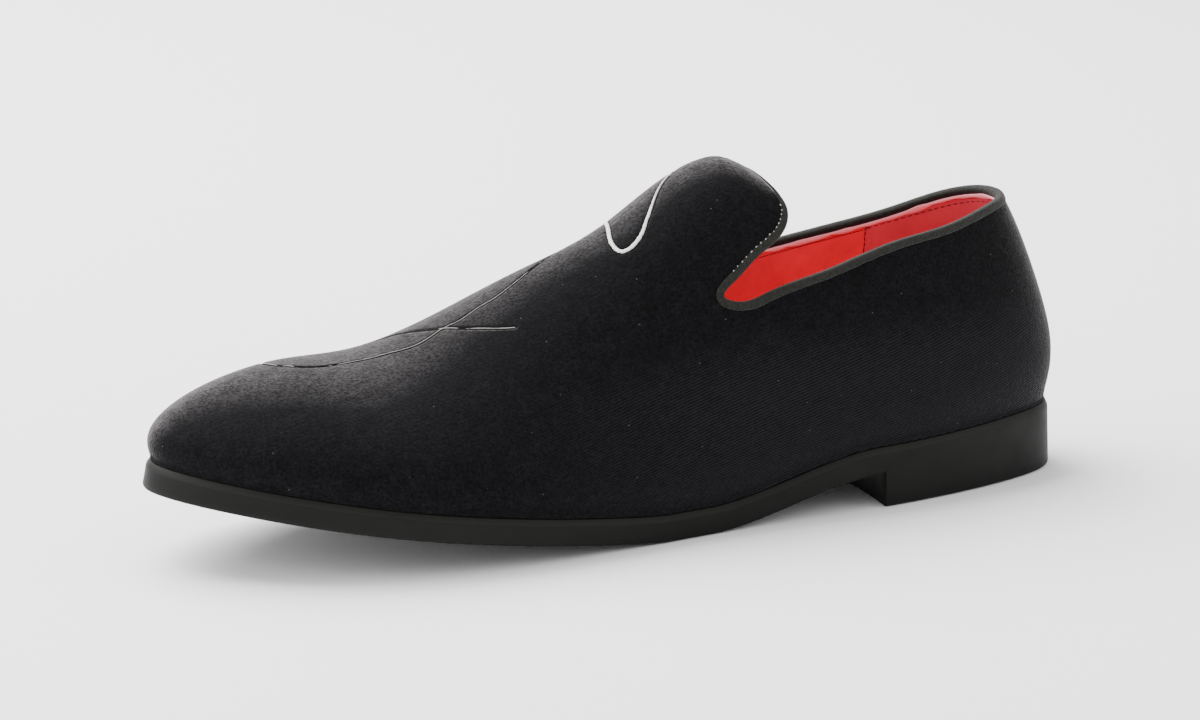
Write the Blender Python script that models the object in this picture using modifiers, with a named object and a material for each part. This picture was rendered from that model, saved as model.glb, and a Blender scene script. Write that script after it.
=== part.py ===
"""Velvet slipper loafer for the left foot, standing empty on its sole.

The toe points along -X, the inner (medial) side of the foot is +Y and up is +Z, in metres.
The shape is worked out as a shoe last is: a feather line in plan, ribs that rise from it to
a ridge over the foot, and a topline cut across those ribs.
"""

import math

import bmesh
import bpy
import numpy as np
from mathutils import Vector

# Driving sizes, in metres
LAST_LENGTH = 0.295
BALL_WIDTH = 0.1
INSTEP_HEIGHT = 0.1
BACK_HEIGHT = 0.0885
SOLE_EDGE = 0.0085
TOE_SPRING = 0.024
SPRING_POWER = 1.17
HEEL_HEIGHT = 0.021
BREAST_HEIGHT = 0.0107
BREAST_HOLLOW = 0.002
UPPER_WALL = 0.0022
SWELL_REACH = 0.0032
SWELL_HEIGHT = 0.02
INSOLE_THICKNESS = 0.003
TAPE_HEIGHT = 0.0034
TAPE_WALL = 0.003
TAPE_ROUND = 0.0008
CLEARANCE = 0.0003

# Sole edge, measured outwards from the feather line and down from the top of the edge
RAND_LIP = 0.0004
RAND_SHOULDER = 0.0012
RAND_BEVEL = 0.0022
SIDE_FLARE = 0.0002
TOE_FLARE = 0.0012
TREAD_ROUND = 0.0009
ROUND_SHARE = 0.3

# Stations along the last, as shares of its length from the heel
BREAST = 0.24
TREAD_BACK = 0.45
TREAD_FRONT = 0.5
FLARE_START = 0.7
TONGUE_FOOT = 0.62

# Feather line: station, outward width on each side as shares of the ball width, and the
# station where the rib from there meets the ridge
FEATHER = (
    # station, lateral, medial, crown
    (0.0, 0.0, 0.0, 0.152),
    (0.016, 0.14, 0.15, 0.153),
    (0.06, 0.225, 0.25, 0.16),
    (0.14, 0.3, 0.31, 0.19),
    (0.26, 0.355, 0.3, 0.28),
    (0.39, 0.375, 0.275, 0.39),
    (0.51, 0.415, 0.325, 0.51),
    (0.61, 0.455, 0.41, 0.61),
    (0.70, 0.47, 0.475, 0.70),
    (0.79, 0.44, 0.475, 0.785),
    (0.88, 0.335, 0.4, 0.86),
    (0.95, 0.19, 0.28, 0.887),
    (0.988, 0.065, 0.15, 0.893),
    (1.0, -0.035, 0.035, 0.895),
)

# Ridge over the foot: station, height as shares of the instep height and of the height at
# the back, sway to the medial side and rounding of the arch beside it as shares of the ball
# width. Behind the tongue it is only the line that the quarters lean towards.
RIDGE = (
    # station, instep, back, sway, arch
    (0.1, 0.0, 1.35, 0.0, 0.0),
    (0.2, 0.0, 1.23, 0.0, 0.0),
    (0.3, 0.0, 1.209, 0.0, 0.021),
    (0.4, 1.067, 0.0, 0.0, 0.034),
    (0.5, 0.897, 0.0, 0.0, 0.02),
    (0.58, 0.79, 0.0, 0.03, 0.0),
    (0.67, 0.668, 0.0, 0.06, 0.0),
    (0.76, 0.575, 0.0, 0.09, 0.0),
    (0.84, 0.568, 0.0, 0.1, 0.0),
    (0.91, 0.542, 0.0, 0.08, 0.0),
)

# Swell of the wall over the sole edge: station, and its reach and the height of its fullest
# point as shares of the named sizes
SWELL = (
    # station, reach, height
    (0.0, 1.0, 1.0),
    (0.25, 1.0, 0.9),
    (0.5, 0.94, 0.7),
    (0.75, 0.94, 0.6),
    (1.0, 1.09, 0.6),
)

# Topline along the quarters, from the heel to the bottom of the notch: station, and height
# over the floor on each side as shares of the height at the back
COLLAR = (
    # station, lateral, medial
    (0.0, 1.0, 1.0),
    (0.05, 0.981, 0.969),
    (0.12, 0.944, 0.912),
    (0.2, 0.915, 0.87),
    (0.29, 0.853, 0.832),
    (0.36, 0.804, 0.79),
    (0.405, 0.789, 0.769),
)

# Tongue edge from the notch to the middle of the tongue: station, and turn of the rib past
# the turn at the bottom of the notch, as a share of what is left up to the ridge
TONGUE = (
    # station, turn
    (0.413, 0.03),
    (0.399, 0.08),
    (0.368, 0.16),
    (0.334, 0.26),
    (0.323, 0.38),
    (0.325, 0.52),
    (0.331, 0.68),
    (0.334, 0.84),
    (0.334, 1.0),
)

# The end of the tongue curls down behind a station, from a turn of its ribs up to the ridge
CURL_STATION = 0.381
CURL_TURN = 55.0
CURL_RADIUS = 0.0145
ARCH_POWER = 6

COLLAR_COLUMNS = 20
TONGUE_COLUMNS = 15
VAMP_COLUMNS = 18
WALL_ROWS = 10
NOTCH_GATHER = 1.5
TOP_GATHER = 1.35
SOLE_COLUMNS = 44
RING_SPARE = 0.3
INSOLE_COLUMNS = 32
ACROSS = 4
INSET_STEPS = 4
BISECTIONS = 40
BEVEL_SEGMENTS = 2
BEVEL_ANGLE = 60.0


def spline_bends(knots, values, closed):
    """Second derivatives of the cubic spline through the values, natural or closed."""
    count = len(knots)
    gaps = np.diff(knots)
    matrix = np.zeros((count, count))
    right = np.zeros(count)
    for i in range(1, count - 1):
        matrix[i, i - 1] = gaps[i - 1]
        matrix[i, i] = 2 * (gaps[i - 1] + gaps[i])
        matrix[i, i + 1] = gaps[i]
        after = (values[i + 1] - values[i]) / gaps[i]
        right[i] = 6 * (after - (values[i] - values[i - 1]) / gaps[i - 1])
    if closed:
        matrix[0, 0] = 2 * (gaps[-1] + gaps[0])
        matrix[0, 1] = gaps[0]
        matrix[0, -2] = gaps[-1]
        after = (values[1] - values[0]) / gaps[0]
        right[0] = 6 * (after - (values[-1] - values[-2]) / gaps[-1])
        matrix[-1, 0] = 1
        matrix[-1, -1] = -1
    else:
        matrix[0, 0] = 1
        matrix[-1, -1] = 1
    return np.linalg.solve(matrix, right)


class Curve:
    """A smooth curve of one value over its knots."""

    def __init__(self, knots, values, closed=False):
        self.knots = np.asarray(knots, float)
        self.values = np.asarray(values, float)
        self.bends = spline_bends(self.knots, self.values, closed)

    def __call__(self, at):
        at = min(max(at, self.knots[0]), self.knots[-1])
        i = min(max(int(np.searchsorted(self.knots, at)) - 1, 0), len(self.knots) - 2)
        gap = self.knots[i + 1] - self.knots[i]
        a = (self.knots[i + 1] - at) / gap
        b = 1 - a
        bend = ((a**3 - a) * self.bends[i] + (b**3 - b) * self.bends[i + 1]) * gap * gap / 6
        return float(a * self.values[i] + b * self.values[i + 1] + bend)


def column(table, index):
    return [row[index] for row in table]


def smooth(share):
    share = min(max(share, 0), 1)
    return share * share * (3 - 2 * share)


def plan_x(station):
    """X of a station: the middle of the last is at 0."""
    return (0.5 - station) * LAST_LENGTH


def station_of(x):
    return 0.5 - x / LAST_LENGTH


def feather_loop():
    """The feather line as closed curves of x and y: 0 is the heel, 1 the toe and 2 the heel again."""
    lateral = [(plan_x(row[0]), -row[1] * BALL_WIDTH) for row in FEATHER]
    medial = [(plan_x(row[0]), row[2] * BALL_WIDTH) for row in FEATHER]
    steps = [
        (math.dist(lateral[i], lateral[i + 1]) + math.dist(medial[i], medial[i + 1])) / 2
        for i in range(len(FEATHER) - 1)
    ]
    knots = np.concatenate([[0], np.cumsum(steps)]) / sum(steps)
    around = np.concatenate([knots, 2 - knots[-2::-1]])
    points = lateral + medial[-2::-1]
    return knots, Curve(around, column(points, 0), True), Curve(around, column(points, 1), True)


RIB_KNOTS, LOOP_X, LOOP_Y = feather_loop()
CROWN = Curve(RIB_KNOTS, column(FEATHER, 3))
RIDGE_Z = Curve(
    column(RIDGE, 0),
    [row[1] * INSTEP_HEIGHT + row[2] * BACK_HEIGHT for row in RIDGE],
)
RIDGE_SWAY = Curve(column(RIDGE, 0), column(RIDGE, 3))
RIDGE_ARCH = Curve(column(RIDGE, 0), column(RIDGE, 4))
SWELL_OUT = Curve(column(SWELL, 0), column(SWELL, 1))
SWELL_UP = Curve(column(SWELL, 0), column(SWELL, 2))


def feather_point(side, rib):
    """Plan point of the feather line on a side (-1 lateral, 1 medial), and its outward direction.

    Ribs run from 0 at the heel to 1 at the toe.
    """
    at = rib if side < 0 else 2 - rib
    step = 1e-4
    ahead = (at + step) % 2
    behind = (at - step) % 2
    along = Vector((LOOP_X(ahead) - LOOP_X(behind), LOOP_Y(ahead) - LOOP_Y(behind))).normalized()
    return Vector((LOOP_X(at % 2), LOOP_Y(at % 2))), Vector((-along.y, along.x))


def rib_at(station):
    """The rib whose foot is at a station."""
    low = 0.0
    high = 1.0
    for _ in range(BISECTIONS):
        middle = (low + high) / 2
        if station_of(LOOP_X(middle)) < station:
            low = middle
        else:
            high = middle
    return (low + high) / 2


def sole_lift(station):
    """Height of the tread over the floor: toe spring in front and the rise of the waist behind."""
    if station > TREAD_FRONT:
        return TOE_SPRING * ((station - TREAD_FRONT) / (1 - TREAD_FRONT)) ** SPRING_POWER
    return BREAST_HEIGHT * smooth((TREAD_BACK - station) / (TREAD_BACK - BREAST))


def feather_height(station):
    """Height of the top of the sole edge, where the upper stands."""
    heel_rise = HEEL_HEIGHT - SOLE_EDGE - BREAST_HEIGHT
    return sole_lift(station) + SOLE_EDGE + smooth((BREAST - station) / BREAST) * heel_rise


def ridge_point(rib):
    station = CROWN(rib)
    return Vector((plan_x(station), RIDGE_SWAY(station) * BALL_WIDTH, RIDGE_Z(station)))


def ridge_slope(rib):
    """Fall of the ridge towards the toe, in height over length."""
    station = CROWN(rib)
    step = 0.005
    rise = RIDGE_Z(station + step) - RIDGE_Z(station - step)
    return rise / (plan_x(station + step) - plan_x(station - step))


def arch_share(sweep):
    """Share of the arch's rounding at a turn: none on the feather line or on the ridge."""
    peak = (ARCH_POWER / (ARCH_POWER + 1)) ** (ARCH_POWER / 2) / (ARCH_POWER + 1) ** 0.5
    return math.sin(sweep) ** ARCH_POWER * math.cos(sweep) / peak


def tongue_curl(x, turn):
    """Drop of the tongue's end below the line of the ridge."""
    past = max(x - plan_x(CURL_STATION), 0)
    return past * past / (2 * CURL_RADIUS) * smooth((turn - CURL_TURN) / (90 - CURL_TURN))


def last_point(side, rib, turn):
    """A point of the upper's outer face, at a turn of 0 on the feather line and 90 on the ridge."""
    if rib < 0:
        side = -side
        rib = -rib
    foot, outward = feather_point(side, rib)
    station = station_of(foot.x)
    base = feather_height(station) + CLEARANCE
    top = ridge_point(rib)
    sweep = math.radians(turn)
    inward = 1 - math.cos(sweep)
    lean = ridge_slope(rib) * (top.x - foot.x) if rib > 0.5 else 0.0
    rise = (top.z - base - lean) * math.sin(sweep) + lean * inward
    full = SWELL_UP(station) * SWELL_HEIGHT
    swell = SWELL_OUT(station) * SWELL_REACH * (rise / full * math.exp(1 - rise / full)) ** 2
    arch = RIDGE_ARCH(CROWN(rib)) * BALL_WIDTH * arch_share(sweep)
    plan = foot.lerp(top.xy, inward) + outward * (swell * math.cos(sweep) + arch)
    return Vector((plan.x, plan.y, base + rise - tongue_curl(plan.x, turn)))


def collar_turn(station, height):
    """Turn of the rib at a station that reaches a height over the floor."""
    base = feather_height(station) + CLEARANCE
    return math.degrees(math.asin((height - base) / (ridge_point(rib_at(station)).z - base)))


def topline(side):
    """The topline on a side as ribs and turns: collar from the heel, notch, tongue to its middle."""
    heights = column(COLLAR, 1 if side < 0 else 2)
    collar = [
        (rib_at(row[0]), collar_turn(row[0], height * BACK_HEIGHT))
        for row, height in zip(COLLAR, heights)
    ]
    notch = collar[-1][1]
    tongue = [(rib_at(row[0]), notch + (90 - notch) * row[1]) for row in TONGUE]
    path = collar + tongue
    before = (-path[1][0], path[1][1])
    after = (path[-2][0], 180 - path[-2][1])
    lengths = [0.0]
    for start, end in zip(path, path[1:]):
        lengths.append(lengths[-1] + (last_point(side, *end) - last_point(side, *start)).length)
    lengths = [-lengths[1]] + lengths + [2 * lengths[-1] - lengths[-2]]
    knots = [before] + path + [after]
    ribs = Curve(lengths, column(knots, 0))
    around = np.linspace(lengths[len(collar)], lengths[len(collar) + 2], 50)
    return ribs, Curve(lengths, column(knots, 1)), max(around, key=ribs), lengths[-2]


def surface_steps(side, rib, turn):
    """How the outer face moves with the rib and with the turn."""
    by_rib = 1e-3
    by_turn = 0.1
    across = last_point(side, rib + by_rib, turn) - last_point(side, rib - by_rib, turn)
    up = last_point(side, rib, turn + by_turn) - last_point(side, rib, turn - by_turn)
    return across / (2 * by_rib), up / (2 * by_turn)


def inset_line(side, depth):
    """The topline moved into the upper along its face, as ribs and turns.

    It runs from the heel to the middle of the tongue, with its points close together at the notch.
    """
    ribs, turns, notch, middle = topline(side)
    places = [
        notch * (1 - (1 - i / COLLAR_COLUMNS) ** NOTCH_GATHER) for i in range(COLLAR_COLUMNS)
    ]
    places += [
        notch + (middle - notch) * (i / TONGUE_COLUMNS) ** NOTCH_GATHER
        for i in range(TONGUE_COLUMNS + 1)
    ]
    line = []
    near = 1e-3 * middle
    for place in places:
        rib = ribs(place)
        turn = turns(place)
        ahead = last_point(side, ribs(place + near), turns(place + near))
        behind = last_point(side, ribs(place - near), turns(place - near))
        for _ in range(INSET_STEPS):
            across, up = surface_steps(side, rib, turn)
            into = (ahead - behind).cross(across.cross(up)).normalized() * depth / INSET_STEPS
            moves = np.linalg.lstsq(np.array([across, up]).T, np.array(into), rcond=None)[0]
            rib += moves[0]
            turn += moves[1]
        line.append((max(rib, 0.0), min(turn, 90.0)))
    line[0] = (0.0, line[0][1])
    line[-1] = (line[-1][0], 90.0)
    return line


def wall_column(side, foot, top, knee):
    """Points up the outer face from the feather line to a place on it.

    The column goes straight up as far as the knee's turn, and its rows close up at the top.
    """
    rib, turn = top
    knee = min(turn, knee)
    start = last_point(side, foot, knee)
    low = (start - last_point(side, foot, 0)).length
    high = (last_point(side, rib, turn) - start).length
    points = []
    for k in range(WALL_ROWS):
        along = (low + high) * (1 - (1 - k / WALL_ROWS) ** TOP_GATHER)
        if along < low:
            points.append(last_point(side, foot, knee * along / low))
        else:
            share = (along - low) / high
            leaning = (foot + (rib - foot) * share, knee + (turn - knee) * share)
            points.append(last_point(side, *leaning))
    return points + [last_point(side, rib, turn)]


def wall_columns(side):
    """The upper's columns on a side, from the heel to the toe.

    Below the topline the last row is a strip along the edge, so that it faces as the binding does.
    """
    edge = inset_line(side, TAPE_HEIGHT + CLEARANCE)
    line = inset_line(side, 1.5 * TAPE_HEIGHT + CLEARANCE)
    notch, knee = line[COLLAR_COLUMNS]
    middle = line[-1][0]
    tongue_foot = rib_at(TONGUE_FOOT)
    found = []
    for i, top in enumerate(line):
        if i <= COLLAR_COLUMNS:
            foot = notch * i / COLLAR_COLUMNS
            bend = top[1] * i / COLLAR_COLUMNS
        else:
            foot = notch + (tongue_foot - notch) * (i - COLLAR_COLUMNS) / TONGUE_COLUMNS
            bend = knee
        found.append(wall_column(side, foot, top, bend) + [last_point(side, *edge[i])])
    for i in range(VAMP_COLUMNS + 1):
        share = i / VAMP_COLUMNS
        top = (middle + (1 - middle) * share, 90.0)
        points = wall_column(side, tongue_foot + (1 - tongue_foot) * share, top, knee)
        found.append(points + points[-1:])
    return found


def mesh_from_strips(name, strips, ring=False):
    """A surface over a closed round of strips of as many points each, or a closed tube of rings."""
    shape = bmesh.new()
    rows = [[shape.verts.new(point) for point in strip] for strip in strips]
    pairs = list(zip(rows, rows[1:]))
    if not ring:
        pairs.append((rows[-1], rows[0]))
    for left, right in pairs:
        count = len(left)
        for k in range(count if ring else count - 1):
            after = (k + 1) % count
            shape.faces.new((left[k], right[k], right[after], left[after]))
    bmesh.ops.remove_doubles(shape, verts=shape.verts, dist=1e-5)
    bmesh.ops.recalc_face_normals(shape, faces=shape.faces)
    mesh = bpy.data.meshes.new(name)
    shape.to_mesh(mesh)
    shape.free()
    return mesh


def add_piece(name, mesh, material, collection, parent):
    piece = bpy.data.objects.new(name, mesh)
    collection.objects.link(piece)
    piece.parent = parent
    mesh.materials.append(material)
    mesh.shade_smooth()
    return piece


def add_wall(piece, thickness, proud=0.0):
    """Thickness inwards from an open surface, with a part of it standing proud outwards."""
    wall = piece.modifiers.new("wall", "SOLIDIFY")
    wall.thickness = thickness
    wall.offset = 2 * proud / thickness - 1
    return wall


def add_material(name, colour, roughness):
    made = bpy.data.materials.new(name)
    made.use_nodes = True
    shader = made.node_tree.nodes["Principled BSDF"]
    shader.inputs["Base Color"].default_value = (*colour, 1)
    shader.inputs["Roughness"].default_value = roughness
    shader.inputs["Metallic"].default_value = 0.0
    return made


def make_upper(collection, parent):
    """One wall of velvet and lining, open at the collar and underneath."""
    strips = wall_columns(-1) + wall_columns(1)[-2:0:-1]
    velvet = add_material("black_velvet", (0.007, 0.007, 0.008), 0.9)
    piece = add_piece("upper", mesh_from_strips("upper", strips), velvet, collection, parent)
    add_wall(piece, UPPER_WALL)


def make_binding(collection, parent):
    """Folded tape around the whole topline, above the edge of the upper."""
    strips = []
    for side in (-1, 1):
        lines = [inset_line(side, TAPE_HEIGHT * k / 2) for k in (2, 1, 0)]
        found = [[last_point(side, *line[i]) for line in lines] for i in range(len(lines[0]))]
        strips += found if side < 0 else found[-2:0:-1]
    grosgrain = add_material("olive_grosgrain", (0.035, 0.035, 0.03), 0.8)
    mesh = mesh_from_strips("topline_binding", strips)
    piece = add_piece("topline_binding", mesh, grosgrain, collection, parent)
    add_wall(piece, TAPE_WALL, (TAPE_WALL - UPPER_WALL) / 2)
    bevel = piece.modifiers.new("round", "BEVEL")
    bevel.width = TAPE_ROUND
    bevel.segments = BEVEL_SEGMENTS
    bevel.limit_method = "ANGLE"
    bevel.angle_limit = math.radians(BEVEL_ANGLE)


def across_points(left, right, hollow=0.0):
    """Points between the two edges of a section, with a hollow towards the heel."""
    found = []
    for k in range(1, ACROSS):
        share = k / ACROSS
        point = left.lerp(right, share)
        found.append(point + Vector((hollow * 4 * share * (1 - share), 0, 0)))
    return found


def sole_ring(rib, heel, hollow):
    """Section of the outsole through a rib, down to the floor where it belongs to the heel."""
    sides = []
    for side in (-1, 1):
        foot, outward = feather_point(side, rib)
        station = station_of(foot.x)
        top = feather_height(station)
        lift = sole_lift(station) if station > BREAST else BREAST_HEIGHT
        flare = smooth((station - FLARE_START) / (1 - FLARE_START)) * TOE_FLARE
        edge = RAND_SHOULDER + SIDE_FLARE + flare
        bottom = 0.0 if heel else lift
        turned = edge if heel else edge - TREAD_ROUND * ROUND_SHARE
        outline = (
            (RAND_LIP, top),
            (RAND_SHOULDER + flare * ROUND_SHARE, top - RAND_BEVEL),
            (edge, lift + TREAD_ROUND),
            (turned, bottom + TREAD_ROUND * (1.0 if heel else ROUND_SHARE)),
            (edge - TREAD_ROUND, bottom),
        )
        sides.append([Vector((*(foot + outward * reach), z)) for reach, z in outline])
    lateral, medial = sides
    over = across_points(lateral[0], medial[0])
    under = across_points(medial[-1], lateral[-1], hollow)
    return lateral[::-1] + over + medial + under


def make_outsole(collection, parent):
    """One moulded unit of sole and heel, with a bevelled rand and a toe that flares."""
    breast = rib_at(BREAST)
    ribs = [i / SOLE_COLUMNS for i in range(SOLE_COLUMNS + 1)]
    spare = RING_SPARE / SOLE_COLUMNS
    behind = [rib for rib in ribs if rib < breast - spare]
    ahead = [rib for rib in ribs if rib > breast + spare]
    rings = [sole_ring(rib, True, 0.0) for rib in behind]
    rings.append(sole_ring(breast, True, BREAST_HOLLOW))
    rings.append(sole_ring(breast, False, BREAST_HOLLOW))
    rings += [sole_ring(rib, False, 0.0) for rib in ahead]
    rubber = add_material("moulded_rubber", (0.034, 0.036, 0.032), 0.55)
    add_piece("outsole", mesh_from_strips("outsole", rings, ring=True), rubber, collection, parent)


def make_insole(collection, parent):
    """Padded sock inside the foot of the upper, lying on the outsole."""
    inset = UPPER_WALL + 2 * CLEARANCE
    rings = []
    for i in range(INSOLE_COLUMNS + 1):
        sides = []
        for side in (-1, 1):
            foot, outward = feather_point(side, i / INSOLE_COLUMNS)
            plan = foot - outward * inset
            bottom = feather_height(station_of(foot.x)) + CLEARANCE
            sides.append([Vector((*plan, bottom)), Vector((*plan, bottom + INSOLE_THICKNESS))])
        lateral, medial = sides
        over = across_points(lateral[1], medial[1])
        rings.append(lateral + over + medial[::-1] + across_points(medial[0], lateral[0]))
    sock = add_material("red_sock", (0.6, 0.02, 0.02), 0.7)
    add_piece("insole", mesh_from_strips("insole", rings, ring=True), sock, collection, parent)


def seat_on_floor(parent, collection):
    """Move the shoe so that the middle of its plan box is over the origin."""
    bpy.context.view_layer.update()
    graph = bpy.context.evaluated_depsgraph_get()
    corners = []
    for piece in collection.objects:
        if piece.type == "MESH":
            corners += [Vector(corner) for corner in piece.evaluated_get(graph).bound_box]
    for axis in range(2):
        values = [corner[axis] for corner in corners]
        parent.location[axis] = -(min(values) + max(values)) / 2


def main():
    for thing in list(bpy.data.objects):
        bpy.data.objects.remove(thing)
    collection = bpy.data.collections.new("slipper_loafer")
    bpy.context.scene.collection.children.link(collection)
    origin = bpy.data.objects.new("shoe_origin", None)
    collection.objects.link(origin)
    make_outsole(collection, origin)
    make_insole(collection, origin)
    make_upper(collection, origin)
    make_binding(collection, origin)
    seat_on_floor(origin, collection)


main()
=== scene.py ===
"""Looks of a velvet slipper loafer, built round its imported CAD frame.

The file is laid out as an add-on, and is run as a script. The toe points along -X, the inner
(medial) side of this left shoe is +Y and up is +Z, in metres, as in the frame.
"""

import math
import random

import bmesh
import bpy
import numpy as np
from mathutils import Matrix, Vector
from mathutils.bvhtree import BVHTree


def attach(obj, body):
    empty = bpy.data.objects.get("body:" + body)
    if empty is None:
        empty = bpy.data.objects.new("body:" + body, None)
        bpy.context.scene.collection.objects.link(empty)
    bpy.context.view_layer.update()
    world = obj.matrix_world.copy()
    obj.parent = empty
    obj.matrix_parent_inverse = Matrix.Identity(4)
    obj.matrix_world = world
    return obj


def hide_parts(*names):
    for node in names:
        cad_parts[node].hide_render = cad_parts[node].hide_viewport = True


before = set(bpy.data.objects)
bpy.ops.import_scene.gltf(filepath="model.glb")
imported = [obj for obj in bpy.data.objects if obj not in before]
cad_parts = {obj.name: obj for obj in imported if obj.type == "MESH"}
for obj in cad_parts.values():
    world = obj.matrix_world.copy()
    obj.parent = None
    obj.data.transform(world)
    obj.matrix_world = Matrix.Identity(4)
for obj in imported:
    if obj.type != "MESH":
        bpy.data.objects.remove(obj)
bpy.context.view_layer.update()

bl_info = {
    "name": "Velvet slipper loafer",
    "version": (1, 0, 0),
    "blender": (4, 5, 0),
    "location": "View3D > Sidebar > Loafer",
    "description": "Dresses the packed solids of a slipper loafer and lights them",
    "category": "Add Mesh",
}

BODY = "root"

# Form of the last, in metres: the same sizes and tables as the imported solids
PLACE = Vector((0.00017, -0.00074))
LAST_LENGTH = 0.295
BALL_WIDTH = 0.1
INSTEP_HEIGHT = 0.1
BACK_HEIGHT = 0.0885
SOLE_EDGE = 0.0085
TOE_SPRING = 0.024
SPRING_POWER = 1.17
HEEL_HEIGHT = 0.021
BREAST_HEIGHT = 0.0107
BREAST_HOLLOW = 0.002
SWELL_REACH = 0.0032
SWELL_HEIGHT = 0.02
RAND_LIP = 0.0004
RAND_SHOULDER = 0.0012
RAND_BEVEL = 0.0022
KNEE_ROUND = 0.0004
SIDE_FLARE = 0.0002
TOE_FLARE = 0.0012
TREAD_ROUND = 0.0009
ROUND_SHARE = 0.3

BREAST = 0.24
TREAD_BACK = 0.45
TREAD_FRONT = 0.5
FLARE_START = 0.7
TONGUE_FOOT = 0.62
CURL_STATION = 0.381
CURL_TURN = 55.0
CURL_RADIUS = 0.0145
ARCH_POWER = 6

FEATHER = (
    # station, lateral, medial, crown
    (0.0, 0.0, 0.0, 0.152),
    (0.016, 0.14, 0.15, 0.153),
    (0.06, 0.225, 0.25, 0.16),
    (0.14, 0.3, 0.31, 0.19),
    (0.26, 0.355, 0.3, 0.28),
    (0.39, 0.375, 0.275, 0.39),
    (0.51, 0.415, 0.325, 0.51),
    (0.61, 0.455, 0.41, 0.61),
    (0.70, 0.47, 0.475, 0.70),
    (0.79, 0.44, 0.475, 0.785),
    (0.88, 0.335, 0.4, 0.86),
    (0.95, 0.19, 0.28, 0.887),
    (0.988, 0.065, 0.15, 0.893),
    (1.0, -0.035, 0.035, 0.895),
)

RIDGE = (
    # station, instep, back, sway, arch
    (0.1, 0.0, 1.35, 0.0, 0.0),
    (0.2, 0.0, 1.23, 0.0, 0.0),
    (0.3, 0.0, 1.209, 0.0, 0.021),
    (0.4, 1.067, 0.0, 0.0, 0.034),
    (0.5, 0.897, 0.0, 0.0, 0.02),
    (0.58, 0.79, 0.0, 0.03, 0.0),
    (0.67, 0.668, 0.0, 0.06, 0.0),
    (0.76, 0.575, 0.0, 0.09, 0.0),
    (0.84, 0.568, 0.0, 0.1, 0.0),
    (0.91, 0.542, 0.0, 0.08, 0.0),
)

SWELL = (
    # station, reach, height
    (0.0, 1.0, 1.0),
    (0.25, 1.0, 0.9),
    (0.5, 0.94, 0.7),
    (0.75, 0.94, 0.6),
    (1.0, 1.09, 0.6),
)

COLLAR = (
    # station, lateral, medial
    (0.0, 1.0, 1.0),
    (0.05, 0.981, 0.969),
    (0.12, 0.944, 0.912),
    (0.2, 0.915, 0.87),
    (0.29, 0.853, 0.832),
    (0.36, 0.804, 0.79),
    (0.405, 0.789, 0.769),
)

TONGUE = (
    # station, turn
    (0.413, 0.03),
    (0.399, 0.08),
    (0.368, 0.16),
    (0.334, 0.26),
    (0.323, 0.38),
    (0.325, 0.52),
    (0.331, 0.68),
    (0.334, 0.84),
    (0.334, 1.0),
)

# Camera, found from the outlines of the sole and the upper in the photo
CAMERA_AZIMUTH = -22.61
CAMERA_ELEVATION = 14.15
CAMERA_DISTANCE = 1.6225
CAMERA_TARGET = Vector((-0.0031, -0.0007, 0.0481))
CAMERA_ROLL = -1.14
CAMERA_FOCUS = 5261.0
PICTURE = (1200, 720)
SENSOR = 36.0

# Embroidery on the near side, as pixels of the photo along the middle of each line, with the
# share of the thread that stands out of the pile
HOOK = (
    # across, down, showing
    (600, 222, 1.0),
    (605, 222.5, 1.0),
    (608, 229, 1.0),
    (610, 239, 1.0),
    (614, 247, 1.0),
    (621, 251.5, 1.0),
    (629, 249, 1.0),
    (638, 240, 1.0),
    (643, 231, 1.0),
    (646, 222, 1.0),
    (650, 211, 1.0),
    (655, 197, 1.0),
    (661, 185, 1.0),
    (669, 175, 1.0),
)
LONG_LINE = (
    # across, down, showing
    (261, 363, 1.0),
    (274, 365, 0.7),
    (281, 365.7, 0.3),
    (289, 366, 0.9),
    (295, 366.5, 0.3),
    (312, 367, 0.3),
    (326, 366, 0.4),
    (345, 363, 0.65),
    (370, 358, 0.65),
    (385, 354, 0.75),
    (404, 349, 0.7),
    (422, 342, 0.8),
    (439, 331, 1.0),
    (448, 326, 1.0),
    (460, 320, 0.75),
    (479, 307, 0.75),
    (493, 299, 0.8),
    (504, 291, 0.6),
    (518, 280, 0.6),
    (534, 267, 0.45),
    (548, 257, 0.35),
)
SHORT_LINE = (
    # across, down, showing
    (398, 334, 0.05),
    (412, 331.5, 0.1),
    (431, 329.5, 0.2),
    (450, 328, 0.8),
    (462, 328.3, 0.4),
    (480, 328.3, 0.8),
    (495, 328.3, 0.6),
    (508, 328, 0.8),
    (515, 327.5, 1.0),
)

# The far side, which the photo hides, closes the same lines into loops: a plain layout in plan
FAR_LOOP = (
    # along, across, showing
    (0.0022, 0.0055, 1.0),
    (0.0055, 0.0135, 1.0),
    (0.0115, 0.0185, 1.0),
    (0.019, 0.018, 1.0),
    (0.0245, 0.0125, 1.0),
    (0.0255, 0.0065, 1.0),
    (0.0224, 0.0024, 1.0),
)
FAR_LINK = (
    # along, across, showing
    (-0.0175, 0.0046, 0.4),
    (-0.012, 0.0085, 0.5),
    (-0.0045, 0.0125, 0.7),
    (0.0045, 0.0135, 0.8),
)
FAR_LEAF = (
    # along, across, showing
    (-0.1072, 0.017, 0.9),
    (-0.1045, 0.0225, 0.7),
    (-0.0975, 0.0265, 0.6),
    (-0.088, 0.0265, 0.7),
    (-0.078, 0.0235, 0.8),
    (-0.0705, 0.0185, 0.5),
    (-0.0642, 0.0129, 0.3),
)

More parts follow.
